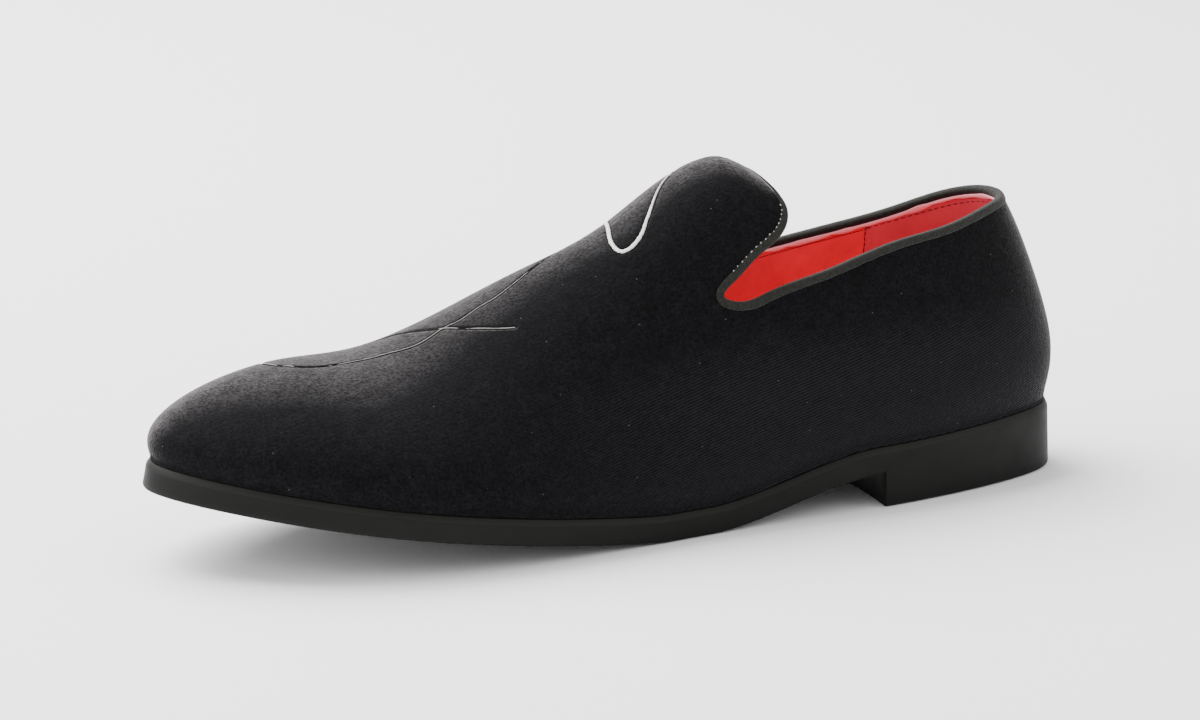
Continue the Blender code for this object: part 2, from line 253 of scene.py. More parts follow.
# Counts of columns and rows, and how they gather where the form turns most
COLLAR_COLUMNS = 84
TONGUE_COLUMNS = 56
VAMP_COLUMNS = 84
WALL_ROWS = 64
NOTCH_GATHER = 1.4
TOP_GATHER = 1.2
FOOT_GATHER = 0.85
SOLE_COLUMNS = 150
SOLE_ACROSS = 14
SOLE_SPARE = 0.4
SOCK_ROWS = 120
SOCK_ACROSS = 12
EDGE_COLLAR = 150
EDGE_TONGUE = 96
LINE_STEP = 0.0004
LINE_REACH = 0.0034
LINE_CUTS = 3
INSET_STEP = 0.0012
CHUNK = 4000
SEED = 7

# Distances within which points become one, and the angle that stays crisp
WALL_WELD = 5e-6
SOLE_WELD = 2e-6
CRISP_ANGLE = 50
# Upward part of a normal from which a face of the sole counts as level
LEVEL = 0.9

# The tongue's tip, where the columns of both sides crowd together
TIP_WIDTH = 0.003
TIP_START = 0.037
TIP_ROUNDS = 6

# Velvet: depths of its strips below the edge, its slow unevenness, what presses it, the
# height of the strip along the sole that gets painted shade, and the sheen of each copy
VELVET_STRIPS = (0.0006, 0.0018, 0.0032, 0.0051)
VELVET_WALL = 0.0009
VELVET_PITCH = 0.035
VELVET_WAVE = 0.00022
WAVE_FOOT = 0.02
THICK_REACH = 0.0012
THICK_PRESS = 0.00025
THIN_REACH = 0.00055
THIN_PRESS = 0.0005
FOOT_PAINTED_SHADE = 0.0035
STANDING_SHEEN = 1.0
PRESSED_AND_SHADED_SHEEN = 0.1
TWILL_SLANT = 15

# Back seam of the velvet: a trough, and the turned-in edges that stand on either side of it
BACK_SEAM_FRONT = 0.12
BACK_SEAM_HALF = 0.0005
BACK_SEAM_DEPTH = 0.0004
BACK_EDGE_OFF = 0.0018
BACK_EDGE_HALF = 0.0012
BACK_EDGE_RISE = 0.00016

# Lining: it stands inside the velvet, and its counter piece lies on it behind a seam
LINING_STRIPS = (0.0012, 0.0024, 0.0036, 0.0051)
LINING_WALL = 0.0009
LINING_INSET = 0.00125
LINING_PITCH = 0.02
LINING_WAVE = 0.00008
COUNTER_STEP = 0.0002
COUNTER_RAMP = 0.0008
COUNTER_SEAM_HALF = 0.0007
COUNTER_SEAM_DEPTH = 0.00025
COUNTER_SEAM_LOW = 0.03
COUNTER_SEAM_HIGH = 0.082

# Waves of the tape and of the lining's fold: how many times each goes round, and its height
TAPE_TURNS = (17, 29, 43, 61)
TAPE_WAVE = 0.0001
FOLD_TURNS = (11, 17, 29, 43)
FOLD_WAVE = 0.001
# The fold's width, how far its crests rise, and how far it is tucked under the tape
FOLD_ROLL = 0.0016
FOLD_RISE = 0.0004
FOLD_TUCK = 0.0002

# The tape rolls under at the tongue's end, by this share of its width
TAPE_ROLLED = 0.72
ROLL_START = 0.5
ROLL_LENGTH = 0.28

TAPE_SECTION = (
    # share of the width outside, share of it inside, depth added, distance out of the face
    (1.0, 0.0, -0.0001, -0.0004),
    (1.0, 0.0, 0.00005, 0.00005),
    (1.0, 0.0, -0.0001, 0.0003),
    (0.86, 0.0, 0.0, 0.00042),
    (0.6, 0.0, 0.0, 0.0005),
    (0.3, 0.0, 0.0, 0.0005),
    (0.0, 0.0, 0.0004, 0.0004),
    (0.0, 0.0, 0.0001, 0.00015),
    (0.0, 0.0, -0.0001, -0.00025),
    (0.0, 0.0, -0.00022, -0.0008),
    (0.0, 0.0, -0.00025, -0.0013),
    (0.0, 0.0, -0.00018, -0.0018),
    (0.0, 0.0, 0.0, -0.0022),
    (0.0, 0.0, 0.0003, -0.0025),
    (0.0, 0.5, 0.0, -0.00268),
    (0.0, 0.85, 0.0, -0.00262),
    (0.0, 1.0, 0.0, -0.0025),
    (0.0, 1.0, 0.0, -0.0021),
    (0.0, 0.7, 0.0, -0.0016),
    (0.0, 0.0, 0.0006, -0.0009),
    (0.0, 0.0, 0.0006, -0.0006),
)

FOLD_SECTION = (
    # share of the roll, distance out of the face
    (0.0, -0.0021),
    (0.0, -0.0027),
    (0.25, -0.00292),
    (0.6, -0.003),
    (0.9, -0.00285),
    (1.0, -0.0025),
    (0.95, -0.0021),
    (0.4, -0.0019),
)

SOCK_SECTION = (
    # inset from the feather line, height over it
    (0.0031, 0.0),
    (0.0029, 0.0018),
    (0.0034, 0.0026),
    (0.0044, 0.003),
)
SOCK_GAP = 0.0003

THREAD_SECTION = (
    # share of the half width, share of the height
    (-1.0, -0.3),
    (-0.86, 0.42),
    (-0.5, 0.85),
    (0.0, 1.0),
    (0.5, 0.85),
    (0.86, 0.42),
    (1.0, -0.3),
)

BEAD_RINGS = (
    # share of the stitch's length, share of its girth
    (0.0, 0.3),
    (0.18, 0.85),
    (0.5, 1.0),
    (0.82, 0.85),
    (1.0, 0.3),
)
BEAD_ANGLES = (0.0, 1.05, 2.09, 3.14, 4.19, 5.24)

# Pale stitches of the tongue: a girth is a width and a height, and the start is a length past
# the notch, the end a share of the tongue; the other pairs are ranges of what varies
PALE_LENGTH = 0.0005
PALE_VARIED = (0.7, 1.3)
PALE_UNEVEN = (0.9, 1.1)
PALE_STRAY = (-0.0001, 0.0002)
PALE_LEAN = 0.0001
PALE_GIRTH = (0.0004, 0.00024)
PALE_OUT = 0.0002
PALE_START = 0.0075
PALE_END = 0.62

# Dark stitches of the lining, round the counter and down the seam, and a fine row of dark
# beads under the fold that paints the fold's shadow line
DARK_UNEVEN = (0.95, 1.05)
COUNTER_LENGTH = 0.0017
COUNTER_PITCH = 0.0022
COUNTER_GIRTH = (0.00042, 0.00026)
COUNTER_DEPTH = 0.0038
COUNTER_FALL = 0.0011
COUNTER_RUN = 0.09
FOLD_SHADOW_LENGTH = 0.0011
FOLD_SHADOW_PITCH = 0.0013
FOLD_SHADOW_GIRTH = (0.00022, 0.00016)
FOLD_SHADOW_DEPTH = 0.0042
SEAM_LENGTH = 0.0017
SEAM_PITCH = 0.002
SEAM_GIRTH = (0.00036, 0.0002)
LINING_FACE = -0.00225

# Embroidery: how thin the thick line's ends run out, how ragged the edges of both kinds of
# line are, in shares of the half width, and their heights over the velvet
SATIN_HEIGHT = 0.00036
SATIN_THINNED = 0.6
SATIN_RAGGED = (0.78, 1.15)
ARM_START = 0.45
ARM_LENGTH = 0.5
LOOP_LENGTH = 0.8
THIN_RAGGED = (0.8, 1.1)
THIN_HEIGHT = 0.00018
THIN_SINK = 0.0004
THIN_LIFT = 0.0005
THIN_UNEVEN = 0.00005

# Stage
FLOOR_HALF = 30
FLOOR_DROP = 0.0002
CLIP_END = 100
WORLD_STRENGTH = 1.15
LIGHTS = (
    # name, place, aim, size, watts
    ("softbox_over", (-0.4, 0.85, 1.45), (0, 0, 0), 1.6, 92),
    ("softbox_front", (-1.9, 0.1, 0.9), (0, 0, 0.05), 1.2, 22),
    ("softbox_heel", (1.4, -0.9, 0.8), (0, 0, 0.05), 0.9, 4),
)

# Distance between the bands of the wave texture at a scale of 1
WAVE_UNIT = math.pi / 10


def spline_bends(knots, values, closed):
    """Second derivatives of the cubic spline through the values, natural or closed."""
    count = len(knots)
    gaps = np.diff(knots)
    matrix = np.zeros((count, count))
    right = np.zeros(count)
    for i in range(1, count - 1):
        matrix[i, i - 1] = gaps[i - 1]
        matrix[i, i] = 2 * (gaps[i - 1] + gaps[i])
        matrix[i, i + 1] = gaps[i]
        after = (values[i + 1] - values[i]) / gaps[i]
        right[i] = 6 * (after - (values[i] - values[i - 1]) / gaps[i - 1])
    if closed:
        matrix[0, 0] = 2 * (gaps[-1] + gaps[0])
        matrix[0, 1] = gaps[0]
        matrix[0, -2] = gaps[-1]
        after = (values[1] - values[0]) / gaps[0]
        right[0] = 6 * (after - (values[-1] - values[-2]) / gaps[-1])
        matrix[-1, 0] = 1
        matrix[-1, -1] = -1
    else:
        matrix[0, 0] = 1
        matrix[-1, -1] = 1
    return np.linalg.solve(matrix, right)


class Curve:
    """A smooth curve of one value over its knots."""

    def __init__(self, knots, values, closed=False):
        self.bends = spline_bends(np.asarray(knots, float), np.asarray(values, float), closed)
        self.bends = self.bends.tolist()
        self.knots = [float(knot) for knot in knots]
        self.values = [float(value) for value in values]

    def __call__(self, at):
        knots = self.knots
        at = min(max(at, knots[0]), knots[-1])
        low = 0
        high = len(knots) - 1
        while high - low > 1:
            middle = (low + high) // 2
            if knots[middle] <= at:
                low = middle
            else:
                high = middle
        gap = knots[high] - knots[low]
        a = (knots[high] - at) / gap
        b = 1 - a
        bend = (a**3 - a) * self.bends[low] + (b**3 - b) * self.bends[high]
        return a * self.values[low] + b * self.values[high] + bend * gap * gap / 6


def column(table, index):
    """One column of a table."""
    return [row[index] for row in table]


def smooth(share):
    """A share from 0 to 1 that starts and ends level."""
    share = min(max(share, 0), 1)
    return share * share * (3 - 2 * share)


def plan_x(station):
    """Place along the shoe of a station, which is 0 at the heel and 1 at the toe."""
    return (0.5 - station) * LAST_LENGTH


def station_of(x):
    return 0.5 - x / LAST_LENGTH


def feather_loop():
    """The feather line as closed curves of x and y: 0 is the heel, 1 the toe and 2 the heel."""
    lateral = [(plan_x(row[0]), -row[1] * BALL_WIDTH) for row in FEATHER]
    medial = [(plan_x(row[0]), row[2] * BALL_WIDTH) for row in FEATHER]
    steps = [
        (math.dist(lateral[i], lateral[i + 1]) + math.dist(medial[i], medial[i + 1])) / 2
        for i in range(len(FEATHER) - 1)
    ]
    knots = np.concatenate([[0], np.cumsum(steps)]) / sum(steps)
    around = np.concatenate([knots, 2 - knots[-2::-1]])
    points = lateral + medial[-2::-1]
    return knots, Curve(around, column(points, 0), True), Curve(around, column(points, 1), True)


RIB_KNOTS, LOOP_X, LOOP_Y = feather_loop()
CROWN = Curve(RIB_KNOTS, column(FEATHER, 3))
RIDGE_Z = Curve(
    column(RIDGE, 0),
    [row[1] * INSTEP_HEIGHT + row[2] * BACK_HEIGHT for row in RIDGE],
)
RIDGE_SWAY = Curve(column(RIDGE, 0), column(RIDGE, 3))
RIDGE_ARCH = Curve(column(RIDGE, 0), column(RIDGE, 4))
SWELL_OUT = Curve(column(SWELL, 0), column(SWELL, 1))
SWELL_UP = Curve(column(SWELL, 0), column(SWELL, 2))


def feather_point(side, rib):
    """Plan point of the feather line on a side (-1 lateral, 1 medial), and its outward way."""
    at = rib if side < 0 else 2 - rib
    step = 1e-4
    ahead = (at + step) % 2
    behind = (at - step) % 2
    along = Vector((LOOP_X(ahead) - LOOP_X(behind), LOOP_Y(ahead) - LOOP_Y(behind))).normalized()
    return Vector((LOOP_X(at % 2), LOOP_Y(at % 2))), Vector((-along.y, along.x))


def rib_at(station):
    """The rib whose foot is at a station."""
    low = 0.0
    high = 1.0
    for _ in range(40):
        middle = (low + high) / 2
        if station_of(LOOP_X(middle)) < station:
            low = middle
        else:
            high = middle
    return (low + high) / 2


def sole_lift(station):
    """Height of the tread over the floor: toe spring in front and the rise of the waist."""
    if station > TREAD_FRONT:
        return TOE_SPRING * ((station - TREAD_FRONT) / (1 - TREAD_FRONT)) ** SPRING_POWER
    return BREAST_HEIGHT * smooth((TREAD_BACK - station) / (TREAD_BACK - BREAST))


def feather_height(station):
    """Height of the top of the sole edge, where the upper stands."""
    heel_rise = HEEL_HEIGHT - SOLE_EDGE - BREAST_HEIGHT
    return sole_lift(station) + SOLE_EDGE + smooth((BREAST - station) / BREAST) * heel_rise


def ridge_point(rib):
    """The point of the ridge where a rib ends."""
    station = CROWN(rib)
    return Vector((plan_x(station), RIDGE_SWAY(station) * BALL_WIDTH, RIDGE_Z(station)))


def ridge_slope(rib):
    """Fall of the ridge towards the toe, in height over length."""
    station = CROWN(rib)
    step = 0.005
    rise = RIDGE_Z(station + step) - RIDGE_Z(station - step)
    return rise / (plan_x(station + step) - plan_x(station - step))


def arch_share(sweep):
    """Share of the arch's rounding at a turn: none on the feather line or on the ridge."""
    peak = (ARCH_POWER / (ARCH_POWER + 1)) ** (ARCH_POWER / 2) / (ARCH_POWER + 1) ** 0.5
    return math.sin(sweep) ** ARCH_POWER * math.cos(sweep) / peak


def tongue_curl(x, turn):
    """Drop of the tongue's end below the line of the ridge."""
    past = max(x - plan_x(CURL_STATION), 0)
    return past * past / (2 * CURL_RADIUS) * smooth((turn - CURL_TURN) / (90 - CURL_TURN))


def last_point(side, rib, turn):
    """A point of the upper's outer face, at a turn of 0 on the feather line, 90 on the ridge."""
    if rib < 0:
        side = -side
        rib = -rib
    foot, outward = feather_point(side, rib)
    station = station_of(foot.x)
    base = feather_height(station)
    top = ridge_point(rib)
    sweep = math.radians(turn)
    inward = 1 - math.cos(sweep)
    lean = ridge_slope(rib) * (top.x - foot.x) if rib > 0.5 else 0.0
    rise = (top.z - base - lean) * math.sin(sweep) + lean * inward
    full = SWELL_UP(station) * SWELL_HEIGHT
    swell = SWELL_OUT(station) * SWELL_REACH * (rise / full * math.exp(1 - rise / full)) ** 2
    arch = RIDGE_ARCH(CROWN(rib)) * BALL_WIDTH * arch_share(sweep)
    plan = foot.lerp(top.xy, inward) + outward * (swell * math.cos(sweep) + arch)
    plan_moved = plan + PLACE
    return Vector((plan_moved.x, plan_moved.y, base + rise - tongue_curl(plan.x, turn)))


def collar_turn(station, height):
    """Turn of the rib at a station that reaches a height over the floor."""
    base = feather_height(station)
    return math.degrees(math.asin((height - base) / (ridge_point(rib_at(station)).z - base)))


def topline(side):
    """The topline on a side as ribs and turns: collar from the heel, notch, tongue's middle."""
    heights = column(COLLAR, 1 if side < 0 else 2)
    collar = [
        (rib_at(row[0]), collar_turn(row[0], height * BACK_HEIGHT))
        for row, height in zip(COLLAR, heights)
    ]
    notch = collar[-1][1]
    tongue = [(rib_at(row[0]), notch + (90 - notch) * row[1]) for row in TONGUE]
    path = collar + tongue
    before = (-path[1][0], path[1][1])
    after = (path[-2][0], 180 - path[-2][1])
    lengths = [0.0]
    for start, end in zip(path, path[1:]):
        step = (last_point(side, *end) - last_point(side, *start)).length
        lengths.append(lengths[-1] + step)
    lengths = [-lengths[1]] + lengths + [2 * lengths[-1] - lengths[-2]]
    knots = [before] + path + [after]
    ribs = Curve(lengths, column(knots, 0))
    around = np.linspace(lengths[len(collar)], lengths[len(collar) + 2], 50)
    return ribs, Curve(lengths, column(knots, 1)), float(max(around, key=ribs)), lengths[-2]


def surface_steps(side, rib, turn):
    """How the outer face moves with the rib and with the turn."""
    by_rib = 1e-3
    by_turn = 0.1
    across = last_point(side, rib + by_rib, turn) - last_point(side, rib - by_rib, turn)
    up = last_point(side, rib, turn + by_turn) - last_point(side, rib, turn - by_turn)
    return across / (2 * by_rib), up / (2 * by_turn)


def face_out(side, rib, turn):
    """Outward direction of the outer face."""
    across, up = surface_steps(side, rib, turn)
    out = across.cross(up).normalized()
    return out if side > 0 else -out


def inset_lines(side, places, depths):
    """The topline moved into the upper along its face by each depth, as ribs and turns."""
    ribs, turns, _, middle = topline(side)
    near = 1e-3 * middle
    lines = [[] for _ in depths]
    for place in places:
        rib = ribs(place)
        turn = turns(place)
        ahead = last_point(side, ribs(place + near), turns(place + near))
        behind = last_point(side, ribs(place - near), turns(place - near))
        done = 0.0
        for line, depth in zip(lines, depths):
            count = math.ceil((depth - done) / INSET_STEP)
            for _ in range(count):
                across, up = surface_steps(side, rib, turn)
                into = (ahead - behind).cross(across.cross(up)).normalized()
                into = into * (depth - done) / count
                aa = across.dot(across)
                au = across.dot(up)
                uu = up.dot(up)
                ia = into.dot(across)
                iu = into.dot(up)
                whole = aa * uu - au * au
                rib += (ia * uu - iu * au) / whole
                turn += (iu * aa - ia * au) / whole
            done = depth
            line.append((max(rib, 0.0), min(turn, 90.0)))
    return lines


def edge_places(side, collar, tongue, gather):
    """Places along the topline, close together at the notch."""
    _, _, notch, middle = topline(side)
    places = [notch * (1 - (1 - i / collar) ** gather) for i in range(collar)]
    places += [notch + (middle - notch) * (i / tongue) ** gather for i in range(tongue + 1)]
    return places


def wall_column(side, foot, top, knee):
    """Points up the outer face, straight up from the feather line as far as the knee's turn."""
    rib, turn = top
    knee = min(turn, knee)
    start = last_point(side, foot, knee)
    low = (start - last_point(side, foot, 0)).length
    high = (last_point(side, rib, turn) - start).length
    points = []
    for k in range(WALL_ROWS):
        along = (low + high) * (1 - (1 - k / WALL_ROWS) ** TOP_GATHER)
        if along < low:
            points.append(last_point(side, foot, knee * along / low))
        else:
            share = (along - low) / high
            leaning = (foot + (rib - foot) * share, knee + (turn - knee) * share)
            points.append(last_point(side, *leaning))
    return points + [last_point(side, rib, turn)]


def wall_columns(side, depths):
    """Columns of points up the wall on a side, from the heel to the toe.

    The depths below the edge rise; the wall stands under the deepest, and the others are strips
    that follow the edge.
    """
    places = edge_places(side, COLLAR_COLUMNS, TONGUE_COLUMNS, NOTCH_GATHER)
    lines = inset_lines(side, places, depths)
    for one in lines:
        one[0] = (0.0, one[0][1])
        one[-1] = (one[-1][0], 90.0)
    line = lines.pop()
    strips = [[last_point(side, *one[i]) for one in lines[::-1]] for i in range(len(line))]
    notch, knee = line[COLLAR_COLUMNS]
    middle = line[-1][0]
    tongue_foot = rib_at(TONGUE_FOOT)
    found = []
    for i, top in enumerate(line):
        if i <= COLLAR_COLUMNS:
            points = wall_column(side, top[0], top, top[1])
        else:
            past = ((i - COLLAR_COLUMNS) / TONGUE_COLUMNS) ** FOOT_GATHER
            points = wall_column(side, notch + (tongue_foot - notch) * past, top, knee)
        found.append(points + strips[i])
    for i in range(1, VAMP_COLUMNS + 1):
        share = i / VAMP_COLUMNS
        top = (middle + (1 - middle) * share, 90.0)
        points = wall_column(side, tongue_foot + (1 - tongue_foot) * share, top, knee)
        found.append(points + points[-1:] * len(lines))
    return found


def wall_strips(depths):
    """Columns of the whole wall, round the shoe from the heel along the lateral side."""
    return wall_columns(-1, depths) + wall_columns(1, depths)[-2:0:-1]


class Edge:
    """Places round the topline, with the outer face's points at some depths below it.

    Each place knows its station and its share of the way from the notch to the tongue's middle.
    """

    depths = (0.0, 0.0017, 0.0034, 0.0051, 0.0068)

    def __init__(self):
        self.points = []
        self.outs = []
        self.tongue = []
        for side in (-1, 1):
            places = edge_places(side, EDGE_COLLAR, EDGE_TONGUE, 1.0)
            lines = inset_lines(side, places, self.depths)
            rows = []
            for i, place in enumerate(places):
                points = [last_point(side, *line[i]) for line in lines]
                outs = [face_out(side, *line[i]) for line in lines]
                if i == 0:
                    for point in points:
                        point.y = PLACE.y
                    for out in outs:
                        out.y = 0.0
                        out.normalize()
                rows.append((points, outs, max(i - EDGE_COLLAR, 0) / EDGE_TONGUE))
            if side > 0:
                rows = rows[-2:0:-1]
            for points, outs, tongue in rows:
                self.points.append(points)
                self.outs.append(outs)
                self.tongue.append(tongue)
        self.stations = [station_of(points[0].x - PLACE.x) for points in self.points]
        self.lengths = [0.0]
        for before, after in zip(self.points, self.points[1:] + self.points[:1]):
            self.lengths.append(self.lengths[-1] + (after[0] - before[0]).length)

    def __len__(self):
        return len(self.points)

    def at(self, index, depth, out):
        """A point at a depth below the edge and a distance out of the face."""
        index %= len(self.points)
        points = self.points[index]
        outs = self.outs[index]
        k = min(max(int(depth / self.depths[1]), 0), len(self.depths) - 2)
        share = (depth - self.depths[k]) / self.depths[1]
        point = points[k].lerp(points[k + 1], share)
        normal = outs[k].lerp(outs[k + 1], min(max(share, 0), 1)).normalized()
        return point + normal * out

    def place(self, length):
        """Index and share of the place at a length round the edge."""
        length %= self.lengths[-1]
        index = int(np.searchsorted(self.lengths, length, side="right")) - 1
        index = min(index, len(self.points) - 1)
        gap = self.lengths[index + 1] - self.lengths[index]
        return index, (length - self.lengths[index]) / gap

    def along(self, length, depth, out):
        """A point at a length round the edge, below it and out of the face."""
        index, share = self.place(length)
        return self.at(index, depth, out).lerp(self.at(index + 1, depth, out), share)


def linear(code):
    """Linear colour of an sRGB hex value."""
    values = [int(code[i:i + 2], 16) / 255 for i in (1, 3, 5)]
    return tuple(v / 12.92 if v <= 0.04045 else ((v + 0.055) / 1.055) ** 2.4 for v in values)


def add_node(tree, kind, inputs=(), **settings):
    """Adds a node with its settings; inputs are pairs of a socket and a value or an output."""
    node = tree.nodes.new(kind)
    for name, value in settings.items():
        setattr(node, name, value)
    for socket, value in dict(inputs).items():
        if isinstance(value, bpy.types.NodeSocket):
            tree.links.new(value, node.inputs[socket])
        else:
            node.inputs[socket].default_value = value
    return node


def new_material(name, colour, roughness, **sockets):
    """A material whose shader has these constants; returns it with its tree and its shader."""
    made = bpy.data.materials.new(name)
    made.use_nodes = True
    shader = made.node_tree.nodes["Principled BSDF"]
    shader.inputs["Base Color"].default_value = (*colour, 1)
    shader.inputs["Roughness"].default_value = roughness
    for socket, value in sockets.items():
        shader.inputs[socket.replace("_", " ")].default_value = value
    made.diffuse_color = (*colour, 1)
    return made, made.node_tree, shader


def shade(colour, factor):
    """A lighter or darker version of a colour, as a node's value."""
    return (*(min(part * factor, 1) for part in colour), 1)


def finish_surface(tree, shader, mix, relief):
    """Joins a mix node's colour to the shader, and bumps chained over layers of relief, each a
    height output, its height in metres and its strength."""
    if mix:
        tree.links.new(mix.outputs[2], shader.inputs["Base Color"])
    normal = None
    for height, distance, strength in relief:
        inputs = {"Height": height, "Distance": distance, "Strength": strength}
        if normal is not None:
            inputs["Normal"] = normal
        normal = add_node(tree, "ShaderNodeBump", inputs).outputs[0]
    tree.links.new(normal, shader.inputs["Normal"])


def velvet_material(name, colour, sheen):
    """Cotton velvet, cut pile on a twill ground: nearly black seen straight on, with a fine
    mottle where its tufts lean different ways. Its base colour is painted grey towards the
    outline where the upper faces up, a painted sheen of light from above, on top of the shader's
    own sheen. The sheen given scales both; the darker copy with little sheen goes where stitches
    push the pile down, and paints shade in their troughs and between the upper and the sole."""
    made, tree, shader = new_material(
        name,
        colour,
        1.0,
        Sheen_Weight=0.3 * sheen,
        Sheen_Roughness=0.3,
        Sheen_Tint=(*linear("#f4f0f1"), 1),
        Specular_IOR_Level=0.08,
    )
    where = add_node(tree, "ShaderNodeTexCoord").outputs["Object"]
    # The pile leans in patches of about 4.5 mm, which darken and lighten it
    lean = add_node(
        tree,
        "ShaderNodeTexNoise",
        {"Vector": where, "Scale": 1 / 0.0045, "Detail": 3, "Roughness": 0.6, "Distortion": 0.4},
    ).outputs[0]
    patches = add_node(
        tree,
        "ShaderNodeMapRange",
        {"Value": lean, "From Min": 0.3, "From Max": 0.65, "To Min": 0.5},
    ).outputs[0]
    # Tufts, drawn as grains of 0.9 mm so that they show, and single fibres of 0.4 mm
    grain = add_node(
        tree,
        "ShaderNodeTexNoise",
        {"Vector": where, "Scale": 1 / 0.0009, "Detail": 3, "Roughness": 0.7},
    ).outputs[0]
    tufts = add_node(
        tree,
        "ShaderNodeMapRange",
        {"Value": grain, "From Min": 0.38, "From Max": 0.6, "To Min": 0.12},
    ).outputs[0]
    mottle = add_node(
        tree, "ShaderNodeMath", {0: patches, 1: tufts}, operation="MULTIPLY"
    ).outputs[0]
    pile = add_node(
        tree, "ShaderNodeTexNoise", {"Vector": where, "Scale": 1 / 0.0004, "Detail": 1}
    ).outputs[0]
    # The ground's twill lines lie on the bias, 0.85 mm apart, and show low on the quarters
    slanted = add_node(
        tree,
        "ShaderNodeMapping",
        {"Vector": where, "Rotation": (0, math.radians(TWILL_SLANT), 0)},
    ).outputs[0]
    twill = add_node(
        tree,
        "ShaderNodeTexWave",
        {
            "Vector": slanted,
            "Scale": WAVE_UNIT / 0.00085,
            "Distortion": 0.5,
            "Detail": 1,
            "Detail Scale": 1.5,
        },
        bands_direction="Z",
    ).outputs[1]
    axes = add_node(tree, "ShaderNodeSeparateXYZ", {0: where}).outputs
    quarter = add_node(
        tree,
        "ShaderNodeMapRange",
        {"Value": axes[0], "From Min": -0.06, "From Max": 0.04, "To Min": 0.3},
    ).outputs[0]
    low = add_node(
        tree, "ShaderNodeMapRange", {"Value": axes[2], "From Min": 0.072, "From Max": 0.045}
    ).outputs[0]
    part = add_node(tree, "ShaderNodeMath", {0: quarter, 1: low}, operation="MULTIPLY").outputs[0]
    woven = add_node(tree, "ShaderNodeMath", {0: twill, 1: part}, operation="MULTIPLY").outputs[0]
    lines = add_node(
        tree,
        "ShaderNodeMapRange",
        {"Value": woven, "From Min": 0.3, "From Max": 0.9, "To Max": 0.9},
    ).outputs[0]
    tone = add_node(
        tree, "ShaderNodeMath", {0: mottle, 1: 0.5, 2: lines}, operation="MULTIPLY_ADD"
    ).outputs[0]
    fibre = add_node(
        tree,
        "ShaderNodeMix",
        {0: tone, 6: shade(colour, 0.25), 7: shade(colour, 2.9)},
        data_type="RGBA",
    ).outputs[2]
    # Painted light from above: the painted sheen below only shows where the upper faces up
    shape_normal = add_node(tree, "ShaderNodeNewGeometry").outputs["Normal"]
    upwards = add_node(tree, "ShaderNodeSeparateXYZ", {0: shape_normal}).outputs[2]
    facing_up_share = add_node(
        tree,
        "ShaderNodeMapRange",
        {"Value": upwards, "From Min": 0.05, "From Max": 0.75, "To Min": 0.06},
    ).outputs[0]
    painted_top_light = add_node(
        tree, "ShaderNodeMath", {0: facing_up_share, 1: mottle}, operation="MULTIPLY"
    ).outputs[0]
    # Painted sheen: the base colour turns grey towards the outline, where the tufts' sides
    # scatter more light than their ends
    facing = add_node(tree, "ShaderNodeLayerWeight", {"Blend": 0.5}).outputs["Facing"]
    outline = add_node(
        tree,
        "ShaderNodeMapRange",
        {"Value": facing, "From Min": 0.32, "From Max": 0.95, "To Max": sheen},
    ).outputs[0]
    painted_sheen = add_node(
        tree, "ShaderNodeMath", {0: outline, 1: painted_top_light}, operation="MULTIPLY"
    ).outputs[0]
    fibre_and_painted_sheen = add_node(
        tree,
        "ShaderNodeMix",
        {0: painted_sheen, 6: fibre, 7: (*linear("#645f60"), 1)},
        data_type="RGBA",
    ).outputs[2]
    # Lint: pale specks under half a millimetre across, one in each cell of about 6 mm
    specks = add_node(
        tree, "ShaderNodeTexVoronoi", {"Vector": where, "Scale": 1 / 0.0058}, feature="F1"
    ).outputs["Distance"]
    lint = add_node(
        tree, "ShaderNodeMapRange", {"Value": specks, "From Min": 0.045, "From Max": 0.025}
    ).outputs[0]
    mix = add_node(
        tree, "ShaderNodeMix", {0: lint, 6: fibre_and_painted_sheen, 7: (*linear("#4a4a4a"), 1)}, data_type="RGBA"
    )
    finish_surface(
        tree,
        shader,
        mix,
        (
            (lean, 0.0005, 0.3),
            (grain, 0.0005, 0.55),
            (woven, 0.00015, 0.4),
            (pile, 0.00015, 0.5),
        ),
    )
    return made


def grosgrain_material(colour):
    """Polyester grosgrain tape: matt, with fine ribs across its width."""
    made, tree, shader = new_material(
        "polyester_grosgrain_olive",
        colour,
        0.78,
        Sheen_Weight=0.12,
        Sheen_Roughness=0.4,
        Specular_IOR_Level=0.25,
    )
    where = add_node(tree, "ShaderNodeTexCoord").outputs
    # Ribs of about 0.6 mm run across the tape
    ribs = add_node(
        tree,
        "ShaderNodeTexWave",
        {
            "Vector": where["UV"],
            "Scale": WAVE_UNIT / 0.0006,
            "Distortion": 0.3,
            "Detail": 1,
            "Detail Scale": 1.5,
        },
    ).outputs[1]
    # Fuzz of its yarns, in grains of 0.9 mm
    fuzz = add_node(
        tree,
        "ShaderNodeTexNoise",
        {"Vector": where["Object"], "Scale": 1 / 0.0009, "Detail": 3, "Roughness": 0.75},
    ).outputs[0]
    worn = add_node(
        tree, "ShaderNodeMapRange", {"Value": fuzz, "From Min": 0.38, "From Max": 0.62}
    ).outputs[0]
    mix = add_node(
        tree,
        "ShaderNodeMix",
        {0: worn, 6: shade(colour, 0.45), 7: shade(colour, 2.1)},
        data_type="RGBA",
    )
    finish_surface(tree, shader, mix, ((ribs, 0.00015, 0.6), (fuzz, 0.0003, 0.7)))
    return made


